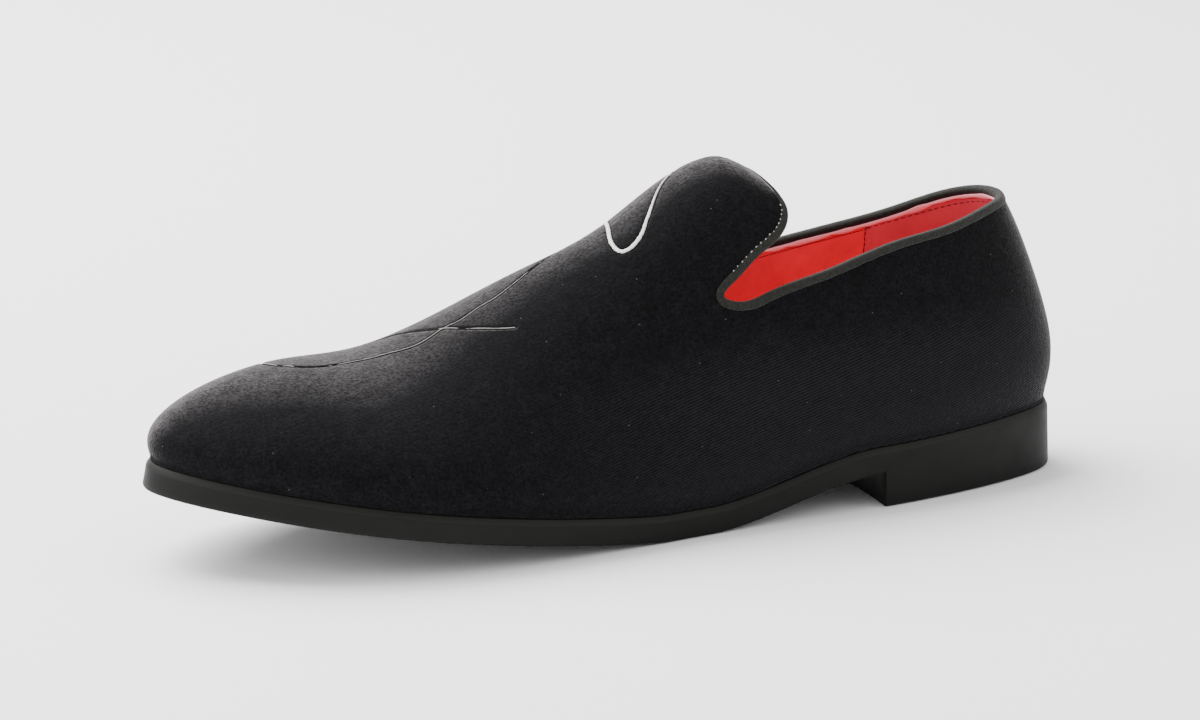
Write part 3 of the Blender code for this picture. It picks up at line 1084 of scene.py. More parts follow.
def leather_material(name, colour, roughness):
    """Pigmented lining leather: even colour, a soft gloss and a tight fine grain."""
    made, tree, shader = new_material(name, colour, roughness, Specular_IOR_Level=0.4)
    where = add_node(tree, "ShaderNodeTexCoord").outputs["Object"]
    # Grain cells of about 0.6 mm, and slow changes of tone over 12 mm
    cells = add_node(
        tree, "ShaderNodeTexVoronoi", {"Vector": where, "Scale": 1 / 0.0006}, feature="F1"
    ).outputs["Distance"]
    tone = add_node(
        tree, "ShaderNodeTexNoise", {"Vector": where, "Scale": 1 / 0.012, "Detail": 3}
    ).outputs[0]
    share = add_node(
        tree, "ShaderNodeMapRange", {"Value": tone, "From Min": 0.3, "From Max": 0.7}
    ).outputs[0]
    mix = add_node(
        tree,
        "ShaderNodeMix",
        {0: share, 6: shade(colour, 0.9), 7: shade(colour, 1.06)},
        data_type="RGBA",
    )
    finish_surface(tree, shader, mix, ((tone, 0.0008, 0.3), (cells, 0.00006, 0.5)))
    return made


def rubber_material(name, colour):
    """Moulded thermoplastic rubber: dark olive grey, matt, faintly mottled."""
    made, tree, shader = new_material(name, colour, 0.56, Specular_IOR_Level=0.14)
    where = add_node(tree, "ShaderNodeTexCoord").outputs["Object"]
    # Clouds of about 9 mm in tone and gloss, and the mould's grit of 0.4 mm
    cloud = add_node(
        tree,
        "ShaderNodeTexNoise",
        {"Vector": where, "Scale": 1 / 0.009, "Detail": 4, "Roughness": 0.6},
    ).outputs[0]
    grit = add_node(
        tree, "ShaderNodeTexNoise", {"Vector": where, "Scale": 1 / 0.0004, "Roughness": 0.7}
    ).outputs[0]
    share = add_node(
        tree, "ShaderNodeMapRange", {"Value": cloud, "From Min": 0.3, "From Max": 0.7}
    ).outputs[0]
    mix = add_node(
        tree,
        "ShaderNodeMix",
        {0: share, 6: shade(colour, 0.88), 7: shade(colour, 1.12)},
        data_type="RGBA",
    )
    rough = add_node(
        tree,
        "ShaderNodeMapRange",
        {"Value": cloud, "From Min": 0.3, "From Max": 0.7, "To Min": 0.5, "To Max": 0.64},
    ).outputs[0]
    tree.links.new(rough, shader.inputs["Roughness"])
    finish_surface(tree, shader, mix, ((grit, 0.00005, 0.45),))
    return made


def thread_material(name, colour):
    """Rayon embroidery thread: bright, with the twist of its strands across each stitch."""
    made, tree, shader = new_material(name, colour, 0.5, Sheen_Weight=0.2, Sheen_Roughness=0.4)
    where = add_node(tree, "ShaderNodeTexCoord").outputs["UV"]
    # Strands 0.35 mm wide lie side by side across a satin line
    strands = add_node(
        tree,
        "ShaderNodeTexWave",
        {
            "Vector": where,
            "Scale": WAVE_UNIT / 0.00035,
            "Distortion": 0.8,
            "Detail": 1,
            "Detail Scale": 1.5,
        },
    ).outputs[1]
    mix = add_node(
        tree,
        "ShaderNodeMix",
        {0: strands, 6: shade(colour, 0.72), 7: shade(colour, 1.0)},
        data_type="RGBA",
    )
    finish_surface(tree, shader, mix, ((strands, 0.00012, 0.6),))
    return made


def floor_material(colour):
    """Matt white paper, with fibres of about 4 mm."""
    made, tree, shader = new_material("white_paper", colour, 0.9, Specular_IOR_Level=0.1)
    where = add_node(tree, "ShaderNodeTexCoord").outputs["Object"]
    fibres = add_node(
        tree, "ShaderNodeTexNoise", {"Vector": where, "Scale": 1 / 0.004}
    ).outputs[0]
    finish_surface(tree, shader, None, ((fibres, 0.00002, 0.3),))
    return made


def add_object(name, data):
    """Adds an object to the scene."""
    made = bpy.data.objects.new(name, data)
    bpy.context.scene.collection.objects.link(made)
    return made


def add_mesh(name, shape, materials):
    """Adds the mesh of a bmesh, which it frees, with its materials."""
    mesh = bpy.data.meshes.new(name)
    shape.to_mesh(mesh)
    shape.free()
    for material in materials:
        mesh.materials.append(material)
    return add_object(name, mesh)


def finish_piece(name, shape, materials, replaced=()):
    """Adds the piece of a bmesh, and joins it to the frame."""
    piece = add_mesh(name, shape, materials)
    piece.data.shade_smooth()
    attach(piece, BODY)
    if replaced:
        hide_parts(*replaced)
    return piece


def thicken(piece, thickness):
    """Gives a sheet its wall, on the inner side."""
    wall = piece.modifiers.new("wall", "SOLIDIFY")
    wall.thickness = thickness
    wall.offset = -1


def strips_to_shape(strips, closed_round=True, ring=False, uv=None):
    """A bmesh over strips of as many points each; uv gives each strip's and point's place."""
    shape = bmesh.new()
    layer = shape.loops.layers.uv.new("UVMap") if uv else None
    rows = [[shape.verts.new(point) for point in strip] for strip in strips]
    count = len(rows[0])
    last = len(rows) if closed_round else len(rows) - 1
    for i in range(last):
        left = rows[i]
        right = rows[(i + 1) % len(rows)]
        for k in range(count if ring else count - 1):
            after = (k + 1) % count
            face = shape.faces.new((left[k], right[k], right[after], left[after]))
            if uv:
                lengths, widths = uv
                corners = (
                    (lengths[i], widths[k]),
                    (lengths[i + 1], widths[k]),
                    (lengths[i + 1], widths[k + 1]),
                    (lengths[i], widths[k + 1]),
                )
                for loop, corner in zip(face.loops, corners):
                    loop[layer].uv = corner
    return shape


def settle(shape, distance=1e-6):
    """Joins points that coincide and turns all faces outwards."""
    bmesh.ops.remove_doubles(shape, verts=shape.verts, dist=distance)
    bmesh.ops.recalc_face_normals(shape, faces=shape.faces)


def crisp_edges(shape, angle):
    """Keeps edges sharper than an angle crisp under smooth shading."""
    for edge in shape.edges:
        if edge.is_manifold and edge.calc_face_angle(0) > math.radians(angle):
            edge.smooth = False


def camera_axes():
    """The camera's place and its right, up and backward directions."""
    azimuth = math.radians(CAMERA_AZIMUTH)
    elevation = math.radians(CAMERA_ELEVATION)
    back = Vector((
        math.sin(azimuth) * math.cos(elevation),
        -math.cos(azimuth) * math.cos(elevation),
        math.sin(elevation),
    ))
    right = Vector((math.cos(azimuth), math.sin(azimuth), 0))
    up = back.cross(right)
    roll = math.radians(CAMERA_ROLL)
    level_right = right
    right = level_right * math.cos(roll) + up * math.sin(roll)
    up = up * math.cos(roll) - level_right * math.sin(roll)
    return CAMERA_TARGET + back * CAMERA_DISTANCE, right, up, back


def line_curves(table):
    """Curves of a table's three columns over the length along its first two."""
    lengths = [0.0]
    for start, end in zip(table, table[1:]):
        lengths.append(lengths[-1] + math.dist(start[:2], end[:2]))
    return lengths[-1], [Curve(lengths, column(table, k)) for k in range(3)]


def near_line(tree, table):
    """A line on a surface that the camera sees through the table's pixels of the photo."""
    length, (across, down, showing) = line_curves(table)
    place, right, up, back = camera_axes()
    found = []
    for at in np.linspace(0, length, int(length * 2)):
        ray = (
            right * (across(at) - PICTURE[0] / 2)
            - up * (down(at) - PICTURE[1] / 2)
            - back * CAMERA_FOCUS
        )
        point, normal, _, _ = tree.ray_cast(place, ray.normalized())
        if point is not None:
            found.append((point, normal, showing(at)))
    return even_line(found, LINE_STEP)


def far_line(tree, table):
    """A line on a surface straight below the table's points in plan."""
    length, (along, across, showing) = line_curves(table)
    found = []
    for at in np.linspace(0, length, int(length / LINE_STEP)):
        start = Vector((along(at), across(at), 2 * INSTEP_HEIGHT))
        point, normal, _, _ = tree.ray_cast(start, Vector((0, 0, -1)))
        if point is not None:
            found.append((point, normal, showing(at)))
    return even_line(found, LINE_STEP)


def even_line(found, step):
    """A line's points, normals and showing at an even step."""
    lengths = [0.0]
    for before, after in zip(found, found[1:]):
        lengths.append(lengths[-1] + (after[0] - before[0]).length)
    count = max(int(lengths[-1] / step), 2)
    even = []
    for length in np.linspace(0, lengths[-1], count + 1):
        index = min(int(np.searchsorted(lengths, length, side="right")) - 1, len(found) - 2)
        gap = lengths[index + 1] - lengths[index] or 1.0
        share = (length - lengths[index]) / gap
        point = found[index][0].lerp(found[index + 1][0], share)
        normal = found[index][1].lerp(found[index + 1][1], share).normalized()
        showing = found[index][2] * (1 - share) + found[index + 1][2] * share
        even.append((point, normal, showing))
    return even


def add_bead(shape, start, end, normal, girth):
    """Adds one stitch: a lens of thread from start to end that lies on a surface."""
    width, height = girth
    along = end - start
    across = along.cross(normal).normalized()
    rings = []
    for share, size in BEAD_RINGS:
        centre = start.lerp(end, share)
        rings.append([
            shape.verts.new(
                centre
                + across * math.cos(angle) * width / 2 * size
                + normal * math.sin(angle) * height * size
            )
            for angle in BEAD_ANGLES
        ])
    for before, after in zip(rings, rings[1:]):
        for k in range(len(BEAD_ANGLES)):
            following = (k + 1) % len(BEAD_ANGLES)
            shape.faces.new((before[k], after[k], after[following], before[following]))
    shape.faces.new(rings[0][::-1])
    shape.faces.new(rings[-1])


def places_of(shape):
    """The places of a bmesh's points, as an array."""
    return np.array([tuple(vert.co) for vert in shape.verts])


def squared_gaps(points, lines):
    """Square of each point's distance to the nearest place on some lines."""
    samples = np.array([tuple(sample[0]) for line in lines for sample in line])
    least = np.zeros(len(points))
    for start in range(0, len(points), CHUNK):
        gaps = points[start:start + CHUNK, None, :] - samples[None, :, :]
        least[start:start + CHUNK] = (gaps**2).sum(2).min(1)
    return least


def near_share(points, line, width):
    """How close points are to a line: 1 on it, falling to nothing past its width."""
    return np.exp(-((np.sqrt(squared_gaps(points, [line])) / width) ** 2))


def refine_near(shape, lines, reach, cuts):
    """Divides the faces of a bmesh that lie near some lines."""
    near = squared_gaps(places_of(shape), lines) < reach * reach
    shape.verts.index_update()
    chosen = [edge for edge in shape.edges if all(near[vert.index] for vert in edge.verts)]
    bmesh.ops.subdivide_edges(shape, edges=chosen, cuts=cuts, use_grid_fill=True)


def outer_shape(depths):
    """The outer face of the last as a bmesh, from the sole up to the least of the depths."""
    shape = strips_to_shape(wall_strips(depths))
    settle(shape, WALL_WELD)
    # The columns of both sides crowd together at the tongue's tip, so they are eased there
    crowded = [
        vert
        for vert in shape.verts
        if not vert.is_boundary
        and abs(vert.co.y - PLACE.y) < TIP_WIDTH
        and vert.co.x > TIP_START
        and vert.co.z > INSTEP_HEIGHT
    ]
    for _ in range(TIP_ROUNDS):
        bmesh.ops.smooth_vert(
            shape, verts=crowded, factor=0.5, use_axis_x=True, use_axis_y=True, use_axis_z=True
        )
    return shape


def moved_along_normals(shape, field):
    """Applies a function of points and normals to the points of a bmesh."""
    shape.normal_update()
    normals = np.array([tuple(vert.normal) for vert in shape.verts])
    for vert, point in zip(shape.verts, field(places_of(shape), normals)):
        vert.co = point


def slow_waves(points, pitch, seed, count=6):
    """Smooth waves between -1 and 1 over points, the same on every run."""
    rng = random.Random(seed)
    total = np.zeros(len(points))
    for _ in range(count):
        way = np.array([rng.uniform(-1, 1) for _ in range(3)])
        way /= np.linalg.norm(way)
        turn = rng.uniform(0.7, 1.4) * 2 * math.pi / pitch
        total += np.sin(points @ way * turn + rng.uniform(0, 6.3))
    return total / count


def sole_outline(station, heel):
    """Half of the sole's section, as reach out of the feather line and height, from the top."""
    top = feather_height(station)
    lift = sole_lift(station) if station > BREAST else BREAST_HEIGHT
    flare = smooth((station - FLARE_START) / (1 - FLARE_START)) * TOE_FLARE
    edge = RAND_SHOULDER + SIDE_FLARE + flare
    shoulder = RAND_SHOULDER + flare * ROUND_SHARE
    bottom = 0.0 if heel else lift
    knee = top - RAND_BEVEL
    # The lip and the knee of the bevel are rounded by fractions of a millimetre
    points = [
        (-0.0008, top - 0.0003),
        (0.0001, top - 0.0002),
        (RAND_LIP, top - 0.00045),
        (shoulder - 0.00028, knee + 0.0006),
        (shoulder - 0.00006, knee + 0.0001),
        (shoulder, knee - KNEE_ROUND),
    ]
    side_bottom = bottom + TREAD_ROUND
    for share in (0.25, 0.5, 0.75):
        height = knee - KNEE_ROUND + (side_bottom - knee + KNEE_ROUND) * share
        points.append((shoulder + (edge - shoulder) * share, height))
    for angle in (0, 22.5, 45, 67.5, 90):
        sweep = math.radians(angle)
        points.append((
            edge - TREAD_ROUND * (1 - math.cos(sweep)),
            side_bottom - TREAD_ROUND * math.sin(sweep),
        ))
    return points


def sole_ring(rib, heel, hollow):
    """Section of the outsole through a rib."""
    sides = []
    for side in (-1, 1):
        foot, outward = feather_point(side, rib)
        outline = sole_outline(station_of(foot.x), heel)
        sides.append([
            Vector((*(foot + outward * reach + PLACE), height)) for reach, height in outline
        ])
    lateral, medial = sides
    over = [lateral[0].lerp(medial[0], k / SOLE_ACROSS) for k in range(1, SOLE_ACROSS)]
    under = []
    for k in range(1, SOLE_ACROSS):
        share = k / SOLE_ACROSS
        point = medial[-1].lerp(lateral[-1], share)
        under.append(point + Vector((hollow * 4 * share * (1 - share), 0, 0)))
    return lateral[::-1] + over + medial + under


def add_outsole(colours):
    """The moulded sole with its heel; its bevelled upper edge is a lighter copy of the rubber,
    painted light from above.
    """
    breast = rib_at(BREAST)
    ribs = [i / SOLE_COLUMNS for i in range(SOLE_COLUMNS + 1)]
    spare = SOLE_SPARE / SOLE_COLUMNS
    rings = [sole_ring(rib, True, 0.0) for rib in ribs if rib < breast - spare]
    rings.append(sole_ring(breast, True, BREAST_HOLLOW))
    rings.append(sole_ring(breast, False, BREAST_HOLLOW))
    rings += [sole_ring(rib, False, 0.0) for rib in ribs if rib > breast + spare]
    shape = strips_to_shape(rings, closed_round=False, ring=True)
    settle(shape, SOLE_WELD)
    crisp_edges(shape, CRISP_ANGLE)
    # Bevel faces that are not level take the lighter copy: painted light from above
    for face in shape.faces:
        middle = face.calc_center_median()
        top = feather_height(station_of(middle.x - PLACE.x))
        if middle.z > top - RAND_BEVEL and face.normal.z < LEVEL:
            face.material_index = 1
    rubber = rubber_material("moulded_rubber_dark_olive", colours.rubber)
    rand = rubber_material("moulded_rubber_rand_painted_light", colours.rand)
    finish_piece("outsole_unit", shape, [rubber, rand], ["outsole"])


def add_insole(colours):
    """The sock, a padded sheet whose rim turns down beside the lining."""
    rings = []
    for i in range(SOCK_ROWS + 1):
        sides = []
        for side in (-1, 1):
            foot, outward = feather_point(side, i / SOCK_ROWS)
            base = feather_height(station_of(foot.x)) + SOCK_GAP
            sides.append([
                Vector((*(foot - outward * inset + PLACE), base + height))
                for inset, height in SOCK_SECTION
            ])
        lateral, medial = sides
        shares = [k / SOCK_ACROSS for k in range(1, SOCK_ACROSS)]
        over = [lateral[-1].lerp(medial[-1], share) for share in shares]
        under = [medial[0].lerp(lateral[0], share) for share in shares]
        rings.append(lateral + over + medial[::-1] + under)
    shape = strips_to_shape(rings, closed_round=False, ring=True)
    settle(shape, SOLE_WELD)
    sock = leather_material("sock_leather_red", colours.lining, 0.5)
    finish_piece("sock", shape, [sock], ["insole"])


def stitched_lines(shape):
    """The thick and the thin lines of the embroidery on a surface."""
    tree = BVHTree.FromBMesh(shape)
    thick = [near_line(tree, HOOK), far_line(tree, FAR_LOOP)]
    thin = [near_line(tree, LONG_LINE), near_line(tree, SHORT_LINE)]
    thin += [far_line(tree, FAR_LINK), far_line(tree, FAR_LEAF)]
    return thick, thin


def add_velvet(colours):
    """The upper's velvet, sewn in along the embroidery and at the back seam."""
    shape = outer_shape(VELVET_STRIPS)
    thick, thin = stitched_lines(shape)
    refine_near(shape, thick + thin, LINE_REACH, LINE_CUTS)
    pile_press_and_painted_shade = shape.verts.layers.float.new("pile_press_and_painted_shade")

    def field(points, normals):
        above = np.clip((points[:, 2] - WAVE_FOOT) / WAVE_FOOT, 0, 1)
        waves = slow_waves(points, VELVET_PITCH, SEED) * VELVET_WAVE * above
        points = points + normals * waves[:, None]
        under_thick = np.max([near_share(points, line, THICK_REACH) for line in thick], axis=0)
        under_thin = np.max([near_share(points, line, THIN_REACH) for line in thin], axis=0)
        feet = np.array([feather_height(station_of(x - PLACE.x)) for x in points[:, 0]])
        # A strip along the sole's edge, marked here for painted shade between the upper and the
        # sole
        foot = np.clip(1 - (points[:, 2] - feet) / FOOT_PAINTED_SHADE, 0, 1)
        for vert, share in zip(shape.verts, np.max([under_thick, under_thin, foot], axis=0)):
            vert[pile_press_and_painted_shade] = share
        sewn = under_thick * THICK_PRESS + under_thin * THIN_PRESS
        points = points - normals * sewn[:, None]
        off = np.abs(points[:, 1] - PLACE.y)
        behind = points[:, 0] > BACK_SEAM_FRONT
        seam = np.exp(-((off / BACK_SEAM_HALF) ** 2)) * BACK_SEAM_DEPTH
        seam -= np.exp(-(((off - BACK_EDGE_OFF) / BACK_EDGE_HALF) ** 2)) * BACK_EDGE_RISE
        return points - normals * (seam * behind)[:, None]

    moved_along_normals(shape, field)
    # Faces along the stitches and the sole take a darker copy with little sheen: the pile pushed
    # down by stitches, and painted shade in their troughs and between the upper and the sole
    for face in shape.faces:
        share = sum(vert[pile_press_and_painted_shade] for vert in face.verts) / len(face.verts)
        face.material_index = 1 if share > 0.5 else 0
    shape.verts.layers.float.remove(pile_press_and_painted_shade)
    standing = velvet_material("cotton_velvet_black", colours.velvet, STANDING_SHEEN)
    pressed_and_shaded_velvet = velvet_material("cotton_velvet_pressed_painted_shade", colours.velvet, PRESSED_AND_SHADED_SHEEN)
    piece = finish_piece("velvet_upper", shape, [standing, pressed_and_shaded_velvet], ["upper"])
    thicken(piece, VELVET_WALL)


def add_lining(sizes, colours):
    """Red lining with a duller counter piece at the heel, joined by a stitched seam."""
    shape = outer_shape(LINING_STRIPS)
    seam_x = plan_x(sizes.counter_station) + PLACE.x

    def field(points, normals):
        past = points[:, 0] - seam_x
        counter = np.clip(past / COUNTER_RAMP + 0.5, 0, 1)
        trough = np.exp(-((past / COUNTER_SEAM_HALF) ** 2)) * COUNTER_SEAM_DEPTH
        inset = LINING_INSET + counter * COUNTER_STEP - trough
        inset += slow_waves(points, LINING_PITCH, SEED + 1) * LINING_WAVE
        return points - normals * inset[:, None]

    moved_along_normals(shape, field)
    for face in shape.faces:
        face.material_index = 1 if face.calc_center_median().x > seam_x else 0
    front = leather_material("lining_leather_red", colours.lining, 0.46)
    counter = leather_material("counter_leather_red", colours.counter, 0.6)
    piece = finish_piece("lining", shape, [front, counter])
    thicken(piece, LINING_WALL)


def edge_waves(edge, turns, seed):
    """Slow uneven waves between -1 and 1 at the places of the edge."""
    rng = random.Random(seed)
    phases = [rng.uniform(0, 2 * math.pi) for _ in turns]
    waves = []
    for length in edge.lengths[:-1]:
        at = length / edge.lengths[-1] * 2 * math.pi
        waves.append(sum(math.sin(at * n + p) for n, p in zip(turns, phases)) / len(turns))
    return waves


def ring_on_edge(edge, section_at):
    """A closed tube round the topline; its section is depths and distances out of the face."""
    sections = [section_at(i) for i in range(len(edge))]
    strips = [[edge.at(i, *place) for place in section] for i, section in enumerate(sections)]
    widths = [0.0]
    for before, after in zip(sections[0], sections[0][1:] + sections[0][:1]):
        widths.append(widths[-1] + math.dist(before, after))
    return strips_to_shape(strips, ring=True, uv=(edge.lengths, widths))


def tape_reach(sizes, share):
    """Width of the tape outside: its upper part rolls under at the tongue's end."""
    return sizes.tape_width * (1 - TAPE_ROLLED * smooth((share - ROLL_START) / ROLL_LENGTH))


def add_tape(sizes, colours, edge):
    """Grosgrain folded over the topline and sewn down on both sides."""
    waves = edge_waves(edge, TAPE_TURNS, SEED + 2)

    def section(i):
        outside = tape_reach(sizes, edge.tongue[i]) + waves[i] * TAPE_WAVE
        return [
            (outside * outer + sizes.tape_inside * inner + depth, out)
            for outer, inner, depth, out in TAPE_SECTION
        ]

    shape = ring_on_edge(edge, section)
    settle(shape)
    grosgrain = grosgrain_material(colours.tape)
    finish_piece("topline_tape", shape, [grosgrain], ["topline_binding"])


def add_tape_stitches(sizes, colours, edge):
    """Pale stitches that catch the tape's edge along the tongue."""
    rng = random.Random(SEED + 3)
    shape = bmesh.new()
    total = edge.lengths[-1]
    for side in (1, -1):
        length = edge.lengths[EDGE_COLLAR] + PALE_START
        if side < 0:
            length = total - edge.lengths[-1 - EDGE_COLLAR] + PALE_START
        while True:
            index, _ = edge.place(length * side)
            if edge.tongue[index] > PALE_END:
                break
            size = PALE_LENGTH * rng.uniform(*PALE_VARIED)
            depth = tape_reach(sizes, edge.tongue[index]) + rng.uniform(*PALE_STRAY)
            start = edge.along(length * side, depth, PALE_OUT)
            end = edge.along((length + size) * side, depth + PALE_LEAN, PALE_OUT)
            add_bead(shape, start, end, edge.outs[index][2], PALE_GIRTH)
            length += sizes.stitch_pitch * rng.uniform(*PALE_UNEVEN)
    thread = thread_material("topstitch_thread_grey", colours.stitch)
    finish_piece("tongue_stitches", shape, [thread])


def fold_section(sizes, wave):
    """Section of the lining's turned edge; the wave widens it upwards."""
    upper = sizes.tape_inside - FOLD_TUCK - max(wave, 0) * FOLD_RISE
    roll = FOLD_ROLL + wave * FOLD_WAVE
    return [(upper + roll * share, out) for share, out in FOLD_SECTION]


def add_lining_fold(sizes, colours, edge):
    """The lining's turned edge, an uneven soft roll just under the tape on the inside."""
    waves = edge_waves(edge, FOLD_TURNS, SEED + 6)
    shape = ring_on_edge(edge, lambda i: fold_section(sizes, waves[i]))
    settle(shape)
    # Painted highlight: the turned edge is the lining's own leather, painted much paler for the
    # light its roll catches
    fold = leather_material("fold_leather_red_painted_highlight", colours.fold, 0.42)
    finish_piece("lining_fold", shape, [fold])


def add_lining_stitches_and_fold_shadow(sizes, colours, edge):
    """Black stitches: a row below the counter's top edge and one down each seam of it, and a
    finer row of dark beads close under the fold in front of it, a painted shadow line of the
    fold."""
    rng = random.Random(SEED + 4)
    shape = bmesh.new()
    for way in (1, -1):
        length = 0.0
        while True:
            index, _ = edge.place(length * way)
            past = sizes.counter_station - edge.stations[index]
            if past < 0:
                break
            depth = COUNTER_DEPTH + COUNTER_FALL * smooth(past / COUNTER_RUN)
            start = edge.along(length * way, depth, LINING_FACE)
            end = edge.along((length + COUNTER_LENGTH) * way, depth, LINING_FACE)
            add_bead(shape, start, end, -edge.outs[index][3], COUNTER_GIRTH)
            length += COUNTER_PITCH * rng.uniform(*DARK_UNEVEN)
    # A painted shadow: a fine row of dark beads close under the fold, in front of the counter
    for way in (1, -1):
        length = edge.lengths[EDGE_COLLAR // 4]
        while True:
            index, _ = edge.place(length * way)
            if edge.tongue[index] > 0.0:
                break
            if edge.stations[index] > sizes.counter_station:
                start = edge.along(length * way, FOLD_SHADOW_DEPTH, LINING_FACE)
                end = edge.along((length + FOLD_SHADOW_LENGTH) * way, FOLD_SHADOW_DEPTH, LINING_FACE)
                add_bead(shape, start, end, -edge.outs[index][3], FOLD_SHADOW_GIRTH)
            length += FOLD_SHADOW_PITCH * rng.uniform(*DARK_UNEVEN)
    wall = bmesh.new()
    wall.from_mesh(bpy.data.objects["lining"].data)
    tree = BVHTree.FromBMesh(wall)
    seam_x = plan_x(sizes.counter_station) + PLACE.x
    for side in (-1, 1):
        for height in np.arange(COUNTER_SEAM_LOW, COUNTER_SEAM_HIGH, SEAM_PITCH):
            ends = []
            for z in (height, height + SEAM_LENGTH):
                point, normal, _, _ = tree.ray_cast(Vector((seam_x, 0, z)), Vector((0, side, 0)))
                if point is not None:
                    inwards = normal if normal.y * side < 0 else -normal
                    ends.append((point + inwards * LINING_WALL, inwards))
            if len(ends) == 2:
                add_bead(shape, ends[0][0], ends[1][0], ends[0][1], SEAM_GIRTH)
    wall.free()
    # One dark material for the stitches and for the painted shadow line under the fold
    thread = thread_material("lining_thread_black_and_fold_shadow", colours.dark_thread_and_fold_shadow)
    finish_piece("lining_stitches_and_fold_shadow", shape, [thread])


def thread_ribbon(shape, layer, line, width_at, height_at):
    """Adds a rounded ribbon of thread along a line; its widths and heights vary along it."""
    rows = []
    for i, (point, normal, showing) in enumerate(line):
        before = line[max(i - 1, 0)][0]
        after = line[min(i + 1, len(line) - 1)][0]
        across = (after - before).cross(normal).normalized()
        left, right = width_at(i)
        sink, height = height_at(i, showing)
        rows.append([
            shape.verts.new(
                point
                + across * share * (left if share < 0 else right)
                + normal * (rise * height - sink)
            )
            for share, rise in THREAD_SECTION
        ])
    for i in range(len(rows) - 1):
        for k in range(len(THREAD_SECTION) - 1):
            corners = ((i, k), (i + 1, k), (i + 1, k + 1), (i, k + 1))
            face = shape.faces.new([rows[row][place] for row, place in corners])
            for loop, (row, place) in zip(face.loops, corners):
                loop[layer].uv = (row * LINE_STEP, place * LINE_STEP / 2)


def add_embroidery(sizes, colours):
    """A white flourish: a thick satin line and thin lines half sunk in the pile."""
    velvet = bpy.data.objects["velvet_upper"]
    base = bmesh.new()
    base.from_mesh(velvet.data)
    thick_lines, thin_lines = stitched_lines(base)
    base.free()
    rng = random.Random(SEED + 5)
    thick = bmesh.new()
    layer = thick.loops.layers.uv.new("UVMap")
    for number, line in enumerate(thick_lines):
        last = len(line) - 1

        def satin_width(i):
            """Wide from the start of the hook to its foot, thin up its arm and round behind."""
            arm = smooth(i / last / LOOP_LENGTH)
            if number == 0:
                arm = smooth((i / last - ARM_START) / ARM_LENGTH)
            half = sizes.hook_width / 2 * (1 - SATIN_THINNED * arm)
            return half * rng.uniform(*SATIN_RAGGED), half * rng.uniform(*SATIN_RAGGED)

        thread_ribbon(thick, layer, line, satin_width, lambda i, showing: (0.0, SATIN_HEIGHT))
    settle(thick)
    white = thread_material("embroidery_thread_white", colours.thread)
    finish_piece("embroidered_hook", thick, [white])
    thin = bmesh.new()
    layer = thin.loops.layers.uv.new("UVMap")
    for line in thin_lines:
        jitter = [rng.uniform(-1, 1) for _ in range(len(line) // 3 + 3)]

        def thin_width(i):
            half = sizes.line_width / 2
            return half * rng.uniform(*THIN_RAGGED), half * rng.uniform(*THIN_RAGGED)

        def thin_height(i, showing):
            """Sinks the thread into the pile where it shows least, stitch by stitch."""
            share = i / 3 - i // 3
            uneven = jitter[i // 3] * (1 - share) + jitter[i // 3 + 1] * share
            return THIN_SINK - THIN_LIFT * showing - THIN_UNEVEN * uneven, THIN_HEIGHT

        thread_ribbon(thin, layer, line, thin_width, thin_height)
    settle(thin)
    grey = thread_material("embroidery_thread_fine", colours.fine_thread)
    finish_piece("embroidered_lines", thin, [grey])


def add_stage(colours):
    """Floor, soft lights and the camera at the photo's angle."""
    shape = bmesh.new()
    bmesh.ops.create_grid(shape, x_segments=1, y_segments=1, size=FLOOR_HALF)
    floor = add_mesh("floor", shape, [floor_material(colours.floor)])
    floor.location.z = -FLOOR_DROP
    for name, place, aim, size, energy in LIGHTS:
        light = bpy.data.lights.new(name, "AREA")
        light.size = size
        light.energy = energy
        lamp = add_object(name, light)
        lamp.location = place
        towards = Vector(aim) - Vector(place)
        lamp.rotation_euler = towards.to_track_quat("-Z", "Y").to_euler()
    world = bpy.data.worlds.new("studio")
    bpy.context.scene.world = world
    world.use_nodes = True
    sky = world.node_tree.nodes["Background"]
    sky.inputs["Color"].default_value = (1, 1, 1, 1)
    sky.inputs["Strength"].default_value = WORLD_STRENGTH
    data = bpy.data.cameras.new("camera")
    data.sensor_width = SENSOR
    data.lens = CAMERA_FOCUS * SENSOR / PICTURE[0]
    data.clip_end = CLIP_END
    camera = add_object("camera", data)
    place, right, up, back = camera_axes()
    turn = Matrix((right, up, back)).transposed().to_4x4()
    camera.matrix_world = Matrix.Translation(place) @ turn
    bpy.context.scene.camera = camera


LEAST_SIZE = 0.0001


def length_property(name, description, default):
    return bpy.props.FloatProperty(
        name=name, description=description, unit="LENGTH", default=default, min=LEAST_SIZE
    )


def colour_property(name, description, code):
    return bpy.props.FloatVectorProperty(
        name=name, description=description, subtype="COLOR", default=linear(code), min=0, max=1
    )


class LoaferSizes(bpy.types.PropertyGroup):
    """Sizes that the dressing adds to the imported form."""

    tape_width: length_property("Tape width", "Topline tape on the outside", 0.0026)
    tape_inside: length_property("Tape inside", "Topline tape on the inside", 0.0019)
    stitch_pitch: length_property("Stitch pitch", "Step of the tongue's pale stitches", 0.002)
    hook_width: length_property("Hook width", "Width of the thick satin stitch", 0.0014)
    line_width: length_property("Line width", "Width of the thin embroidered lines", 0.00024)
    counter_station: bpy.props.FloatProperty(
        name="Counter seam",
        description="Where the counter lining begins, as a share of the last from the heel",
        subtype="FACTOR",
        default=0.164,
        min=0,
        max=1,
    )


